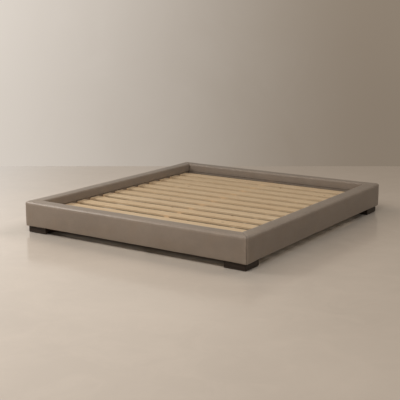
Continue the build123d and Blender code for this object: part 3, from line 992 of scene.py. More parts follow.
def felt_finish(s):
    f = Finish("grey_felt", Roughness=0.98, Specular_IOR_Level=0.1, Sheen_Weight=0.3)
    base = Vector(s.felt_colour)
    hair = f.noise(1, 4, 0.75, at=f.stretched(900, 700, 400), warp=2.5)
    clump = f.noise(140, 4, 0.65)
    shade = f.mix(f.smooth(hair, 0.35, 0.68), base * 0.6, base * 1.6)
    shade = f.mix(f.smooth(clump, 0.55, 0.75) * 0.5, shade, base * 2.2)
    return f.set(Base_Color=shade, Normal=f.bump(0.6 * hair + 0.4 * clump, 0.8 * MM, 0.8))


def felt_pattern(side, thickness):
    """Felt pad with rounded corners, two bolt holes and a soft worn edge."""
    p = Pattern("felt_pad", {"Side": side, "Thickness": thickness, "Corner": 3 * MM, "Hole": 13 * MM})
    side, thickness = p.given("Side"), p.given("Thickness")
    outline = p.add("GeometryNodeCurvePrimitiveQuadrilateral", None, {"Width": side, "Height": side})
    values = {"Curve": outline, "Radius": p.given("Corner"), "Count": 5}
    outline = p.add("GeometryNodeFilletCurve", {"mode": "POLY"}, values)
    outline = p.add("GeometryNodeResampleCurve", {"mode": "LENGTH"}, {"Curve": outline, "Length": 2.5 * MM})
    hole = p.add("GeometryNodeCurvePrimitiveCircle", None, {"Resolution": 40, "Radius": p.given("Hole")})
    inset, outset = -44.5 * MM, 51 * MM  # the two bolts of a foot stand across its diagonal
    rings = [p.moved(hole, x=inset, y=outset), p.moved(hole, x=outset, y=inset)]
    sheet = p.add("GeometryNodeFillCurve", {"mode": "TRIANGLES"}, {0: p.join_all(outline, *rings)})
    body = p.raised(sheet, thickness)
    hair_length = 1.1 * MM
    place = p.add("GeometryNodeInputPosition")
    fuzz = p.add("ShaderNodeTexNoise", None, {"Vector": place, "Scale": 700.0, "Detail": 2.0}, "Color")
    fuzz = p.vector("SUBTRACT", fuzz, (0.5, 0.5, 0.5))
    fuzz = p.vector("MULTIPLY", fuzz, (hair_length, hair_length, 0))
    body = p.add("GeometryNodeSetPosition", None, {"Geometry": body, "Offset": fuzz})
    p.close(body)
    return p


def dust_finish(s):
    f = Finish("black_dust_cloth", Roughness=0.9, Specular_IOR_Level=0.2)
    base = Vector(s.dust_colour)
    fibre = f.noise(1, 4, 0.7, at=f.stretched(500, 500, 500), warp=3)
    dot = f.smooth(f.cells(420), 0.3, 0.12)
    shade = f.mix(f.smooth(fibre, 0.35, 0.7), base * 0.6, base * 2.0)
    shade = f.mix(dot * 0.5, shade, base * 0.4)
    return f.set(Base_Color=shade, Normal=f.bump(fibre * 0.6 - dot * 0.5, 0.4 * MM, 0.8))


def tape_finish(s, place):
    """Woven webbing, on tapes at a place either side of the middle."""
    f = Finish("woven_tape", Roughness=0.85, Specular_IOR_Level=0.2)
    weft_pitch, warp_pitch = 1.5 * MM, 1.7 * MM
    x, y = f.split(f.place)[:2]
    base = Vector(s.tape_colour)
    rows = f.maths("SINE", y * (FULL_TURN / weft_pitch) + f.noise(60, 2) * 1.2)
    ribs = f.maths("SINE", x * (FULL_TURN / warp_pitch))
    weave = 0.5 + 0.5 * rows * ribs
    off_middle = abs(abs(x) - place)
    selvedge = f.smooth(off_middle, 10.4 * MM, 11.2 * MM)
    stripe = f.smooth(off_middle, 6.8 * MM, 7.2 * MM) * (1 - f.smooth(off_middle, 8.2 * MM, 8.6 * MM))
    shade = f.mix(f.smooth(weave, 0.2, 0.8), base * 0.62, base * 1.1)
    shade = f.mix(f.smooth(f.noise(18, 3), 0.4, 0.7) * 0.35, shade, base * 0.78)
    shade = f.mix(stripe * 0.8, shade, (0.23, 0.18, 0.13))
    shade = f.mix(selvedge * 0.35, shade, base * 0.6)
    return f.set(Base_Color=shade, Normal=f.bump(weave, 0.4 * MM, 0.9))


def cloth_strip(name, low, high, dips, material):
    """Thin strip in a box, hung from its upper face. dips gives the drop at (share across, place along)."""
    across, step_length = 8, 11 * MM
    centre, sizes = (low + high) / 2, high - low
    lengthwise = 1 if sizes.y > sizes.x else 0
    width, run = sizes[1 - lengthwise], sizes[lengthwise]
    count = int(run / step_length)
    points = []
    for step in range(count + 1):
        along = run * (step / count - 0.5)
        for line in range(across + 1):
            side = line / across - 0.5
            point = Vector((centre.x, centre.y, high.z - dips(side, along)))
            point[lengthwise] += along
            point[1 - lengthwise] += side * width
            points.append(point)
    piece = mesh_piece(name, points, grid_faces(count + 1, across + 1), material)
    if piece.data.polygons[0].normal.z < 0:
        piece.data.flip_normals()
    wall = piece.modifiers.new("Thickness", "SOLIDIFY")
    wall.thickness = sizes.z
    wall.offset = -1
    bake(piece)
    return piece, (width, run)


class BED_OT_dust_strips(bpy.types.Operator):
    """Stretch dust cloth under the hollow of each rail"""

    bl_idname = "bed.dust_strips"
    bl_label = "Dust Strips"
    bl_options = {"REGISTER", "UNDO"}

    def execute(self, context):
        s = context.scene.bed_cloths
        material = dust_finish(s)
        for low, high in solids_of("dust_strips"):
            centre, sizes = (low + high) / 2, high - low
            rail = ("left", "right")[centre.x > 0] if sizes.y > sizes.x else ("front", "back")[centre.y > 0]
            seed = RAILS.index(rail) * 5.1

            def dips(side, along):
                slack = s.sag * (1 - (2 * side) ** 2)
                slack *= 0.75 + noise.noise(Vector((along * 7, side * 3, seed)))
                pulled = 0.25 * MM * noise.noise(Vector((along * 40, side * 4, seed + 2)))
                return max(slack + pulled * (1 - abs(2 * side)), 0)

            strip, flat = cloth_strip(rail + "_dust_cloth", low, high, dips, material)
            settle_on(strip, "dust_cloth", BODY, "dust_strips")
        return {"FINISHED"}


class BED_OT_tapes(bpy.types.Operator):
    """Run the two webbing tapes under the slats"""

    bl_idname = "bed.tapes"
    bl_label = "Slat Tapes"
    bl_options = {"REGISTER", "UNDO"}

    def execute(self, context):
        s = context.scene.bed_cloths
        solids = solids_of("slat_tapes")
        material = tape_finish(s, abs(solids[0][0].x + solids[0][1].x) / 2)
        for low, high in solids:
            seed = (low.x + high.x) / 2 * 9

            def dips(side, along):
                gap = (along - slat_middle[0]) / slat_pitch
                off = abs(gap - round(gap)) * slat_pitch - slat_width / 2
                free = max(off, 0) / (slat_pitch / 2 - slat_width / 2)
                hang = s.sag * (1 - (1 - free) ** 2)
                hang *= 1 + 0.6 * noise.noise(Vector((round(gap * 2) * 3.3, seed, 0)))
                return hang + 0.3 * MM * free * noise.noise(Vector((along * 30, side * 3, seed)))

            name = ("left" if low.x < 0 else "right") + "_slat_tape"
            tape, flat = cloth_strip(name, low, high, dips, material)
            settle_on(tape, "webbing", BODY, "slat_tapes")
        return {"FINISHED"}


# Fittings


def coated_finish(s):
    f = Finish("black_powder_coat", Specular_IOR_Level=0.45)
    base = Vector(s.steel_colour)
    peel = f.noise(620, 3, 0.55)
    broad = f.noise(24, 3, 0.5)
    shade = f.mix(f.smooth(broad, 0.35, 0.7), base * 0.85, base * 1.35)
    shade = f.mix(f.smooth(peel, 0.6, 0.72) * 0.35, shade, base * 2)
    rough = 0.42 + 0.16 * peel + 0.06 * broad
    return f.set(Base_Color=shade, Roughness=rough, Normal=f.bump(peel, 0.3 * MM, 0.5))


def zinc_finish(s):
    f = Finish("zinc_plating", Metallic=1.0)
    base = Vector(s.zinc_colour)
    grey = f.split(f.cells(700, out="Color"))[0]
    shade = f.mix(grey * 0.5, base * 0.86, base * 1.08)
    tint = f.smooth(f.noise(90, 3), 0.4, 0.7)
    shade = f.mix(tint * 0.3, shade, (base.x * 1.02, base.y * 0.98, base.z * 0.82))
    scuff = f.noise(1, 3, 0.6, at=f.stretched(300, 300, 1600))
    rough = 0.24 + 0.12 * grey + 0.1 * scuff
    return f.set(Base_Color=shade, Roughness=rough, Normal=f.bump(scuff, 0.1 * MM, 0.4))


def plastic_finish(s):
    f = Finish("black_nylon", Specular_IOR_Level=0.4)
    base = Vector(s.plastic_colour)
    spark = f.noise(1500, 2, 0.5)
    rub = f.noise(60, 4, 0.6)
    shade = f.mix(f.smooth(rub, 0.5, 0.75), base, base * 2.2)
    rough = 0.5 + 0.1 * spark + 0.1 * rub
    return f.set(Base_Color=shade, Roughness=rough, Normal=f.bump(spark, 0.1 * MM, 0.4))


def zinc(s):
    """Zinc finish that the fittings share, made once."""
    return bpy.data.materials.get("zinc_plating") or zinc_finish(s)


def powder_coat(s):
    """Coating that brackets, hangers and legs share, made once."""
    return bpy.data.materials.get("black_powder_coat") or coated_finish(s)


def star_recess(p, radius, depth):
    """Six-lobed tool that cuts a driver recess below zero."""
    values = {"Points": 6, "Inner Radius": radius * 0.72, "Outer Radius": radius, "Twist": 0.0}
    star = p.add("GeometryNodeCurveStar", None, values)
    values = {"Curve": star, "Radius": radius * 0.22, "Count": 3, "Limit Radius": True}
    star = p.add("GeometryNodeFilletCurve", {"mode": "POLY"}, values)
    face = p.add("GeometryNodeFillCurve", {"mode": "NGONS"}, {0: star})
    return p.moved(p.raised(face, depth * 2), z=-depth)


def screw_pattern(name, sizes, domed):
    """Wood screw with a countersunk or a domed head, a driver recess and a coarse thread."""
    p = Pattern(name, sizes)
    head, high = p.given("Head Radius"), p.given("Head Height")
    shank, run = p.given("Shank Radius"), p.given("Length")
    root = shank * 0.74
    tip = [(0, -run), (root * 0.5, -run * 0.97), (root, -run * 0.85)]
    if domed:
        top = high
        cap = [(root, 0), (head, SLIVER), (head, high * 0.42), (head * 0.9, high * 0.76)]
        cap += [(head * 0.66, high * 0.95), (0, top)]
    else:
        top = 0
        cap = [(root, -high * 1.05), (head * 0.97, -high * 0.08), (head, -high * 0.02), (0, top)]
    recess = p.moved(star_recess(p, head * 0.52, high * 0.62), z=top)
    body = p.cut(p.turned(tip + cap, 20), recess)
    ridge = p.thread(root, shank * 0.36, p.given("Pitch"), -run * 0.93, -high * 1.6)
    p.close(p.join_all(body, ridge))
    return p


def bolt_pattern(sizes):
    """Hexagon bolt with a flange, a chamfered head and a thread."""
    p = Pattern("flange_bolt", sizes)
    shank, run, flange = p.given("Shank Radius"), p.given("Length"), p.given("Flange Radius")
    rise, head, high = p.given("Flange Height"), p.given("Head Radius"), p.given("Head Height")
    root, top = shank * 0.86, rise + high
    shaft = [(0, -run), (root * 0.8, -run * 0.999), (root, -run * 0.97), (root, 0)]
    washer = [(flange, SLIVER), (flange, rise * 0.45), (flange * 0.9, rise * 0.9), (head * 0.9, rise)]
    body = p.turned([*shaft, *washer, (0, rise + SLIVER)], 36)
    prism = p.turned([(0, rise * 0.9), (head, rise * 0.95), (head, top), (0, top + SLIVER)], 6)
    dome = [(0, 0), (head * 1.1, SLIVER), (head * 1.1, rise + high * 0.72)]
    dome += [(head * 0.82, rise + high * 0.995), (0, top)]
    hexagon = p.cut(prism, p.turned(dome, 36), "INTERSECT")
    ridge = p.thread(root, shank * 0.14, p.given("Pitch"), -run * 0.97, -run * 0.3)
    p.close(p.join_all(body, hexagon, ridge))
    return p


def insert_pattern(sizes):
    """Sleeve with a bore and a coarse outer thread."""
    p = Pattern("threaded_insert", sizes)
    radius, run, bore = p.given("Radius"), p.given("Length"), p.given("Bore")
    root = radius * 0.82
    sleeve = [(0, -run), (root * 0.93, -run * 0.999), (root, -run * 0.95), (root, -run * 0.03)]
    sleeve += [(root * 0.96, -run * 0.001), (0, 0)]
    tool = p.turned([(0, -run * 1.2), (bore, -run * 1.199), (bore, run * 0.2), (0, run * 0.201)], 30)
    ridge = p.thread(root, radius * 0.17, p.given("Pitch"), -run * 0.93, -run * 0.07)
    p.close(p.join_all(p.cut(p.turned(sleeve, 30), tool), ridge))
    return p


def staple_pattern(s):
    """Flat wire staple, driven until its crown lies on the surface."""
    sizes = {"Crown": s.staple_crown, "Wire Width": s.wire_width, "Wire Thickness": 0.6 * MM, "Leg": 4 * MM}
    p = Pattern("staple", sizes)
    half = p.given("Crown") * 0.5
    thick = p.given("Wire Thickness")
    values = {"Start": p.join(-half, 0, 0), "End": p.join(half, 0, 0)}
    line = p.add("GeometryNodeCurvePrimitiveLine", None, values)
    line = p.add("GeometryNodeResampleCurve", None, {"Curve": line, "Count": 12})
    x = p.split(p.add("GeometryNodeInputPosition"))[0]
    bent = p.smooth(abs(x), half * 0.8, half)
    drop = p.join(0, 0, thick * 0.5 - bent * p.given("Leg") * 0.5)
    line = p.add("GeometryNodeSetPosition", None, {"Geometry": line, "Offset": drop})
    values = {"Width": thick, "Height": p.given("Wire Width")}
    wire = p.add("GeometryNodeCurvePrimitiveQuadrilateral", None, values)
    p.close(p.add("GeometryNodeCurveToMesh", None, {0: line, 1: wire, "Fill Caps": True}))
    return p


def set_fasteners(pattern, name, node, head, upright_head):
    """Put a pattern's fastener on each place of a node, as one piece."""
    finish = zinc(bpy.context.scene.bed_fittings)
    places = fastener_places(node, head, upright_head)
    settle_on(pattern.spread(name, places, finish), "zinc_steel", BODY, node)


class BED_OT_corner_fittings(bpy.types.Operator):
    """Fit the corner brackets, the bolts and their inserts"""

    bl_idname = "bed.corner_fittings"
    bl_label = "Corner Fittings"
    bl_options = {"REGISTER", "UNDO"}

    def execute(self, context):
        s = context.scene.bed_fittings
        dress(powder_coat(s), "corner_brackets")
        head = {"Flange Radius": 9 * MM, "Flange Height": 1.5 * MM}
        head.update({"Head Radius": 7.5 * MM, "Head Height": 6 * MM})
        head_height = head["Flange Height"] + head["Head Height"]
        for node, run in (("corner_bolts", 45 * MM), ("foot_bolts", 55 * MM)):
            sizes = {"Shank Radius": 4 * MM, **head, "Pitch": s.bolt_pitch, "Length": run}
            set_fasteners(bolt_pattern(sizes), node.replace("bolts", "bolt_set"), node, head_height, -1)
        sizes = {"Radius": 6 * MM, "Length": 20 * MM, "Bore": 4.05 * MM, "Pitch": 2.5 * MM}
        set_fasteners(insert_pattern(sizes), "insert_set", "threaded_inserts", 0, -1)
        return {"FINISHED"}


class BED_OT_wood_screws(bpy.types.Operator):
    """Drive the wood screws of the slats, ledgers, hangers and legs"""

    bl_idname = "bed.wood_screws"
    bl_label = "Wood Screws"
    bl_options = {"REGISTER", "UNDO"}

    def execute(self, context):
        s = context.scene.bed_fittings
        head = {"Head Radius": 4.5 * MM, "Head Height": 3 * MM}
        sizes = {**head, "Shank Radius": 2.25 * MM, "Length": 45 * MM, "Pitch": s.screw_pitch}
        pattern = screw_pattern("countersunk_screw", sizes, False)
        set_fasteners(pattern, "countersunk_screw_set", "long_screws", 0, 1)
        head = {"Head Radius": 4 * MM, "Head Height": 2.6 * MM}
        sizes = {**head, "Shank Radius": 2 * MM, "Length": 14 * MM, "Pitch": s.screw_pitch * 0.8}
        pattern = screw_pattern("domed_screw", sizes, True)
        set_fasteners(pattern, "domed_screw_set", "short_screws", head["Head Height"], -1)
        return {"FINISHED"}


class BED_OT_staples(bpy.types.Operator):
    """Staple the leather, the dust cloth and the tapes"""

    bl_idname = "bed.staples"
    bl_label = "Staples"
    bl_options = {"REGISTER", "UNDO"}

    askew, askew_angle = 2 * MM, 0.12  # how far a staple is shot beside its place, and turned
    tail_share, tail_end = 0.55, 30 * MM  # where the leather's staples stand on its tail, and end
    dust_inset, dust_end, dust_step_share = 4 * MM, 10 * MM, 1.3
    slat_offset = 28 * MM  # from a slat's middle to its staples

    def execute(self, context):
        s = context.scene.bed_fittings
        pattern = staple_pattern(s)
        self.chance = random.Random(11)
        sets = {
            "leather_staples": self.in_leather(context.scene.bed_covers, s.staple_step),
            "dust_cloth_staples": self.in_dust_cloth(s.staple_step * self.dust_step_share),
            "tape_staples": self.in_tapes(),
        }
        for name, places in sets.items():
            settle_on(pattern.spread(name, places, zinc(s)), "zinc_steel", BODY)
        return {"FINISHED"}

    def in_leather(self, covers, spacing):
        """Places along the tail of each cover, on the inner board."""
        face = board_depth + covers.leather
        height = covers.lip - covers.tail * self.tail_share
        places = []
        for rail in RAILS:
            rail_length, distance, degrees = rails[rail]
            turn = Matrix.Rotation(math.radians(degrees), 3, "Z")
            reach = rail_length / 2 - face - self.tail_end
            count = round(2 * reach / spacing)
            for step in range(count + 1):
                along = reach * (2 * step / count - 1) + self.beside()
                up = height + self.beside() * 0.75
                point = turn @ Vector((along, face - distance, up))
                places.append((point, self.laid(turn @ Vector((0, 1, 0)), turn @ Vector((1, 0, 0)))))
        return places

    def in_dust_cloth(self, spacing):
        """Places along both edges of each strip, seen from below."""
        places = []
        for low, high in solids_of("dust_strips"):
            sizes = high - low
            axis = 1 if sizes.y > sizes.x else 0
            count = round(sizes[axis] / spacing)
            run = Vector((1 - axis, axis, 0))
            for edge in (low[1 - axis] + self.dust_inset, high[1 - axis] - self.dust_inset):
                for step in range(count + 1):
                    point = Vector((edge, edge, low.z))
                    point[axis] = low[axis] + self.dust_end + (sizes[axis] - 2 * self.dust_end) * step / count
                    point[axis] += self.beside()
                    places.append((point, self.laid(Vector((0, 0, -1)), run)))
        return places

    def in_tapes(self):
        """Places under each slat, seen from below."""
        places = []
        for low, high in solids_of("slat_tapes"):
            for middle in slat_middle:
                for off in (-self.slat_offset, self.slat_offset):
                    point = Vector(((low.x + high.x) / 2 + self.beside(), middle + off, low.z))
                    places.append((point, self.laid(Vector((0, 0, -1)), Vector((1, 0, 0)))))
        return places

    def beside(self):
        """Small step to either side, as a hand makes."""
        return self.chance.uniform(-self.askew, self.askew)

    def laid(self, up, run):
        """Turn of a staple that lies along a run and faces up, a little askew."""
        facing = Matrix((run, up.cross(run), up)).transposed()
        angle = self.chance.uniform(-self.askew_angle, self.askew_angle)
        return tuple((facing @ Matrix.Rotation(angle, 3, "Z")).to_euler())


class BED_OT_legs(bpy.types.Operator):
    """Coat the hangers and centre legs and weld the legs' plates"""

    bl_idname = "bed.legs"
    bl_label = "Hangers and Centre Legs"
    bl_options = {"REGISTER", "UNDO"}

    plate = 3 * MM
    tube_radius = 19 * MM
    bead = 2.6 * MM

    def execute(self, context):
        coat = powder_coat(context.scene.bed_fittings)
        for end in ENDS:
            dress(coat, end + "_beam_hanger", end + "_centre_leg")
            low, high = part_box(end + "_centre_leg")
            centre = Vector(((low.x + high.x) / 2, (low.y + high.y) / 2, high.z - self.plate))
            self.weld(end + "_leg_weld", centre, coat)
        return {"FINISHED"}

    def weld(self, name, centre, material):
        """Ring of weld between a leg's tube and its plate, rippled as it was laid."""
        sides, rounds, ripples = 96, 8, 24
        points, faces = [], []
        for step in range(sides):
            angle = FULL_TURN * step / sides
            way = Vector((math.cos(angle), math.sin(angle), 0))
            size = 1 + 0.12 * math.cos(angle * ripples)
            size += 0.08 * noise.noise(Vector((step * 0.9, self.tube_radius, 0)))
            size *= self.bead
            for turn in range(rounds):
                round_angle = FULL_TURN * turn / rounds
                out = self.tube_radius + size * (0.35 + 0.75 * math.cos(round_angle))
                up = size * (0.6 * math.sin(round_angle) - 0.3)
                points.append(centre + way * out + Vector((0, 0, up)))
        for step in range(sides):
            for turn in range(rounds):
                after, over = (step + 1) % sides, (turn + 1) % rounds
                faces.append((step * rounds + turn, after * rounds + turn, after * rounds + over,
                              step * rounds + over))
        settle_on(mesh_piece(name, points, faces, material), "black_steel", BODY)


class BED_OT_levelling_feet(bpy.types.Operator):
    """Screw the levelling stems into the legs and set them in their pads"""

    bl_idname = "bed.levelling_feet"
    bl_label = "Levelling Feet"
    bl_options = {"REGISTER", "UNDO"}

    def execute(self, context):
        s = context.scene.bed_fittings
        nylon = plastic_finish(s)
        for end in ENDS:
            low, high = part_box(end + "_levelling_stem")
            pad_low, pad_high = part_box(end + "_levelling_pad")
            centre = Vector(((low.x + high.x) / 2, (low.y + high.y) / 2, 0))
            sizes = {"Radius": 5 * MM, "Length": high.z - low.z, "Pitch": s.stem_pitch}
            sizes.update({"Collar Radius": 9.5 * MM, "Collar Height": 6 * MM})
            sizes["Collar Rise"] = pad_high.z + 0.2 * MM - low.z
            places = [(centre + Vector((0, 0, low.z)), (0, 0, 0))]
            stem = self.stem_pattern(sizes).spread(end + "_threaded_stem", places, zinc(s))
            settle_on(stem, "zinc_steel", end + "_stem", end + "_levelling_stem")
            profile = self.pad_profile(pad_high.z, (pad_high.x - pad_low.x) / 2)
            pad = turned_piece(end + "_nylon_pad", profile, centre, 72, nylon)
            pad.data.set_sharp_from_angle(angle=math.radians(35))
            settle_on(pad, "black_plastic", end + "_pad", end + "_levelling_pad")
        return {"FINISHED"}

    @staticmethod
    def pad_profile(top, radius):
        """Half section of a pad, with its rounded shoulder, a groove and the stem's socket."""
        hollow, foot_edge, shoulder = 1.2 * MM, 0.7 * MM, 3 * MM
        hub, groove_depth = 11.5 * MM, 1.4 * MM
        bore, mouth, socket = 5.1 * MM, 0.6 * MM, 6 * MM
        rows = [(0, hollow), (radius * 0.78, hollow), (radius * 0.8, 0), (radius - foot_edge, 0)]
        rows += [(radius, foot_edge), (radius, top - shoulder)]
        for step in range(1, 7):
            angle = math.radians(15 * step)
            out, up = shoulder * math.cos(angle), shoulder * math.sin(angle)
            rows.append((radius - shoulder + out, top - shoulder + up))
        groove = top - groove_depth
        rows += [(hub + 3.4 * MM, top), (hub + 2.6 * MM, groove), (hub + 0.8 * MM, groove), (hub, top)]
        rows += [(bore + mouth, top), (bore, top - mouth), (bore, top - socket), (0, top - socket)]
        return rows

    @staticmethod
    def stem_pattern(sizes):
        """Stem with a chamfer at both ends, a hexagonal collar above the pad and a thread above that."""
        p = Pattern("levelling_stem", sizes)
        radius, run, rise = p.given("Radius"), p.given("Length"), p.given("Collar Rise")
        collar, high = p.given("Collar Radius"), p.given("Collar Height")
        root, top = radius * 0.89, rise + high
        shaft = [(0, 0), (root * 0.85, SLIVER), (root, 0.6 * MM), (root, run - 0.8 * MM)]
        body = p.turned([*shaft, (root * 0.85, run - SLIVER), (0, run)], 32)
        flat = 0.5 * SLIVER
        prism = p.turned([(0, rise), (collar, rise + flat), (collar, top - flat), (0, top)], 6)
        dome = [(0, rise - SLIVER), (collar * 0.86, rise), (collar * 1.02, rise + high * 0.16)]
        dome += [(collar * 1.02, rise + high * 0.84), (collar * 0.86, top), (0, top + SLIVER)]
        nut = p.cut(prism, p.turned(dome, 36), "INTERSECT")
        ridge = p.thread(root, radius * 0.115, p.given("Pitch"), rise + high * 0.9, run - 1.2 * MM)
        p.close(p.join_all(body, nut, ridge))
        return p


# Stage


class BED_OT_stage(bpy.types.Operator):
    """Set up the camera, the lamps, the floor and the wall"""

    bl_idname = "bed.stage"
    bl_label = "Stage"
    bl_options = {"REGISTER", "UNDO"}

    # Camera as fitted to the photograph: angles in radians, and its place in the frame
    yaw = -0.5874
    pitch = 0.2106
    eye = Vector((3.897, -6.013, 1.709))
    focal_pixels = 890.4
    frame_pixels = 400
    sensor = 36.0
    sight = 60  # how far the camera sees
    floor_reach = 30
    wall_distance, wall_reach, wall_height = 9.8, 14, 9

    def execute(self, context):
        s = context.scene.bed_stage
        scene = context.scene
        scene.view_settings.view_transform = "Standard"
        self.level = Vector((math.sin(self.yaw), math.cos(self.yaw), 0))
        forward = self.level * math.cos(self.pitch) - Vector((0, 0, math.sin(self.pitch)))
        self.right = Vector((math.cos(self.yaw), -math.sin(self.yaw), 0))
        data = bpy.data.cameras.new("camera")
        data.sensor_width = self.sensor
        data.lens = self.focal_pixels / self.frame_pixels * self.sensor
        data.clip_end = self.sight
        camera = bpy.data.objects.new("camera", data)
        axes = (self.right, self.right.cross(forward), -forward)
        camera.matrix_world = Matrix(axes).transposed().to_4x4()
        camera.location = self.eye
        scene.collection.objects.link(camera)
        scene.camera = camera
        self.floor(s)
        self.wall(s)
        self.room(s)
        self.lamps(s)
        return {"FINISHED"}

    def floor(self, s):
        """Polished floor that is seen from above only, so that a view from below passes through it."""
        f = Finish("polished_floor", Specular_IOR_Level=0.7, Emission_Strength=1.0)
        base = Vector(s.floor_colour)
        cloud = f.noise(0.55, 5, 0.6, warp=0.4)
        vein = f.noise(3.2, 6, 0.62, warp=1.1)
        speck = f.noise(38, 4, 0.6)
        shade = f.mix(f.smooth(cloud, 0.3, 0.7), base * 0.94, base * 1.05)
        shade = f.mix(f.smooth(vein, 0.42, 0.68) * 0.35, shade, base * 1.09)
        shade = f.mix(f.smooth(speck, 0.55, 0.7) * 0.12, shade, base * 0.86)
        # Painted light: the floor's colour is darker to the right, away from the light at the left.
        side = f.vector("DOT_PRODUCT", f.place, tuple(self.right), "Value")
        shade = f.mix(f.smooth(side, -3.5, 4.0), shade, f.tint(shade, (0.8, 0.78, 0.75)))
        x, y = f.split(f.place)[:2]
        apart = f.maths("MAXIMUM", abs(x) - half_width, abs(y) - half_length)  # below 0 under the base
        # Painted shadow: the floor's colour darkens under the base, darkest near the rails and a little
        # lighter under the middle.
        open_air = f.smooth(apart, -0.17, -0.01)
        painted_shadow_under_base = f.mix(f.smooth(apart, -0.3, -0.5), (0.05, 0.045, 0.04), (0.5, 0.47, 0.44))
        shade = f.mix(open_air, f.tint(shade, painted_shadow_under_base), shade)
        # Painted light: a glow that only the camera sees, brightest at the left, none under the base and
        # fading in within 0.35 m of it.
        lit_side = f.smooth(side + (cloud - 0.5) * 0.6, -1.0, -2.9)
        glow = f.mix(lit_side, (0.068, 0.05, 0.036), (0.19, 0.19, 0.19))
        seen = f.add("ShaderNodeLightPath", None, None, "Is Camera Ray")
        glow = f.mix(f.smooth(apart, 0.0, 0.35) * seen, (0, 0, 0), glow)
        rough = 0.1 + 0.06 * vein + 0.03 * cloud + 0.6 * (1 - open_air)
        f.set(Base_Color=shade, Roughness=rough, Emission_Color=glow)
        below = f.add("ShaderNodeNewGeometry", None, None, "Backfacing")
        f.see_through(below, Link(f, f.shader.outputs[0]))
        signs = ((-1, -1), (1, -1), (1, 1), (-1, 1))
        points = [(self.floor_reach * x, self.floor_reach * y, 0) for x, y in signs]
        floor = mesh_piece("floor", points, [(0, 1, 2, 3)], f.material)
        self.beside_floor = self.light_group("lit_beside_the_floor", floor, "EXCLUDE")
        self.floor_alone = self.light_group("lit_floor", floor, "INCLUDE")

    @staticmethod
    def light_group(name, piece, state):
        """Collection that tells a lamp to light one piece alone, or all but that piece."""
        group = bpy.data.collections.new(name)
        group.objects.link(piece)
        group.collection_objects[0].light_linking.link_state = state
        return group

    def wall(self, s):
        """Wall that is seen from the front only, so that views from behind pass through it."""
        f = Finish("plaster_wall", Roughness=0.95, Specular_IOR_Level=0.1)
        side = f.vector("DOT_PRODUCT", f.place, tuple(self.right), "Value")
        trowel = f.noise(1.1, 6, 0.6, warp=0.7)
        # Painted light on the backdrop: lit at the left, shaded to the right, a little darker towards the
        # bottom, and shown as a glow.
        lit_to_shaded_grade = f.smooth(side + (trowel - 0.5) * 0.5, -3.6, 2.0)
        shade = f.mix(lit_to_shaded_grade, tuple(s.wall_light), tuple(s.wall_shade))
        high = f.smooth(f.split(f.place)[2], 0.2, 2.6)
        shade = f.mix(high, f.tint(shade, (0.92, 0.915, 0.91)), f.tint(shade, (1.04, 1.04, 1.04)))
        shade = f.mix(f.smooth(trowel, 0.4, 0.68) * 0.1, shade, f.tint(shade, (1.12, 1.12, 1.12)))
        glow = f.add("ShaderNodeEmission", None, {"Color": shade})
        back = f.add("ShaderNodeNewGeometry", None, None, "Backfacing")
        rays = f.add("ShaderNodeLightPath", out=None)
        seen = Link(f, rays.outputs["Is Camera Ray"]) + Link(f, rays.outputs["Is Glossy Ray"])
        f.see_through(1 - f.maths("MINIMUM", seen, 1.0) * (1 - back), glow)
        foot = Vector((self.eye.x, self.eye.y, 0)) + self.level * self.wall_distance
        points = []
        for step in range(s.wall_steps + 1):
            low = foot + self.right * self.wall_reach * (2 * step / s.wall_steps - 1)
            points += [low, low + Vector((0, 0, self.wall_height))]
        faces = [(low, low + 2, low + 3, low + 1) for low in range(0, 2 * s.wall_steps, 2)]
        wall = mesh_piece("wall", points, faces, f.material, False)
        if wall.data.polygons[0].normal.dot(self.level) > 0:
            wall.data.flip_normals()
        wall.visible_shadow = False
        wall.visible_diffuse = False

    def lamp(self, name, place, target, size, power, tint):
        """Soft box for the base, and a like one for the floor alone, which doesn't mirror it."""
        data = bpy.data.lights.new(name, "AREA")
        data.shape = "RECTANGLE"
        data.size, data.size_y = size
        data.energy = power
        data.color = tint
        for part, group in ((name, self.beside_floor), (name + "_on_floor", self.floor_alone)):
            lamp = bpy.data.objects.new(part, data)
            lamp.location = place
            lamp.rotation_mode = "QUATERNION"
            lamp.rotation_quaternion = (target - place).to_track_quat("-Z", "Y")
            lamp.light_linking.receiver_collection = group
            lamp.visible_glossy = group is self.beside_floor
            bpy.context.scene.collection.objects.link(lamp)

    @staticmethod
    def room(s):
        """Even light from all sides, and a plain backdrop where no wall is seen."""
        world = bpy.data.worlds.new("studio")
        bpy.context.scene.world = world
        world.use_nodes = True
        world.node_tree.nodes.clear()
        g = Graph(world.node_tree)
        values = {"Color": (1.0, 0.985, 0.96, 1), "Strength": s.room_light}
        light = g.add("ShaderNodeBackground", None, values)
        shown = g.add("ShaderNodeBackground", None, {"Color": (*s.backdrop, 1), "Strength": 1.0})
        rays = g.add("ShaderNodeLightPath", out=None)
        seen = sum(Link(g, rays.outputs[f"Is {kind} Ray"]) for kind in ("Camera", "Glossy", "Transmission"))
        both = g.add("ShaderNodeMixShader", None, {0: g.maths("MINIMUM", seen, 1.0), 1: light, 2: shown})
        g.add("ShaderNodeOutputWorld", None, {0: both}, None)

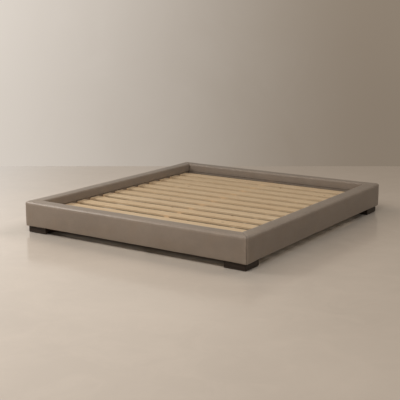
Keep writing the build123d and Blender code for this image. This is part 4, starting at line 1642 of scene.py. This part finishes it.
    def lamps(self, s):
        middle, left_end = Vector((0, 0, 0.1)), Vector((-0.6, -0.9, 0.1))
        plain, warm, warmest = (1.0, 0.985, 0.96), (1.0, 0.98, 0.955), (1.0, 0.97, 0.93)
        self.lamp("key", Vector((1.35, -3.72, 4.06)), middle, (2.6, 2.0), s.key_power, warm)
        self.lamp("window", Vector((-2.6, -2.4, 2.2)), left_end, (1.2, 1.0), s.window_power, plain)
        self.lamp("side", Vector((-4.6, 0, 3.3)), middle, (2.6, 2.0), s.side_power, plain)
        self.lamp("fill", Vector((3.5, 2.5, 3.7)), middle, (2.4, 1.6), s.fill_power, warmest)


class BED_PT_panel(bpy.types.Panel):
    """Sizes, colours and pieces of the bed base"""

    bl_idname = "BED_PT_panel"
    bl_label = "Bed Base"
    bl_space_type = "VIEW_3D"
    bl_region_type = "UI"
    bl_category = "Bed Base"

    def draw(self, context):
        for key in SETTINGS:
            settings = getattr(context.scene, key)
            box = self.layout.box()
            for name in settings.__annotations__:
                box.prop(settings, name)
        for operator in OPERATORS:
            self.layout.operator(operator.bl_idname)


SETTINGS = {
    "bed_covers": BedCoverSettings,
    "bed_woods": BedWoodSettings,
    "bed_cloths": BedClothSettings,
    "bed_fittings": BedFittingSettings,
    "bed_stage": BedStageSettings,
}

OPERATORS = (
    BED_OT_stage,
    BED_OT_covers,
    BED_OT_boards,
    BED_OT_feet,
    BED_OT_slats,
    BED_OT_dust_strips,
    BED_OT_tapes,
    BED_OT_corner_fittings,
    BED_OT_wood_screws,
    BED_OT_staples,
    BED_OT_legs,
    BED_OT_levelling_feet,
)


def register():
    for group in SETTINGS.values():
        bpy.utils.register_class(group)
    for key, group in SETTINGS.items():
        setattr(bpy.types.Scene, key, PointerProperty(type=group))
    for operator in OPERATORS:
        bpy.utils.register_class(operator)
    bpy.utils.register_class(BED_PT_panel)


def unregister():
    bpy.utils.unregister_class(BED_PT_panel)
    for operator in reversed(OPERATORS):
        bpy.utils.unregister_class(operator)
    for key, group in SETTINGS.items():
        delattr(bpy.types.Scene, key)
        bpy.utils.unregister_class(group)


def main():
    random.seed(5)
    register()
    for operator in OPERATORS:
        getattr(bpy.ops.bed, operator.bl_idname.split(".")[1])()


if __name__ == "__main__":
    main()
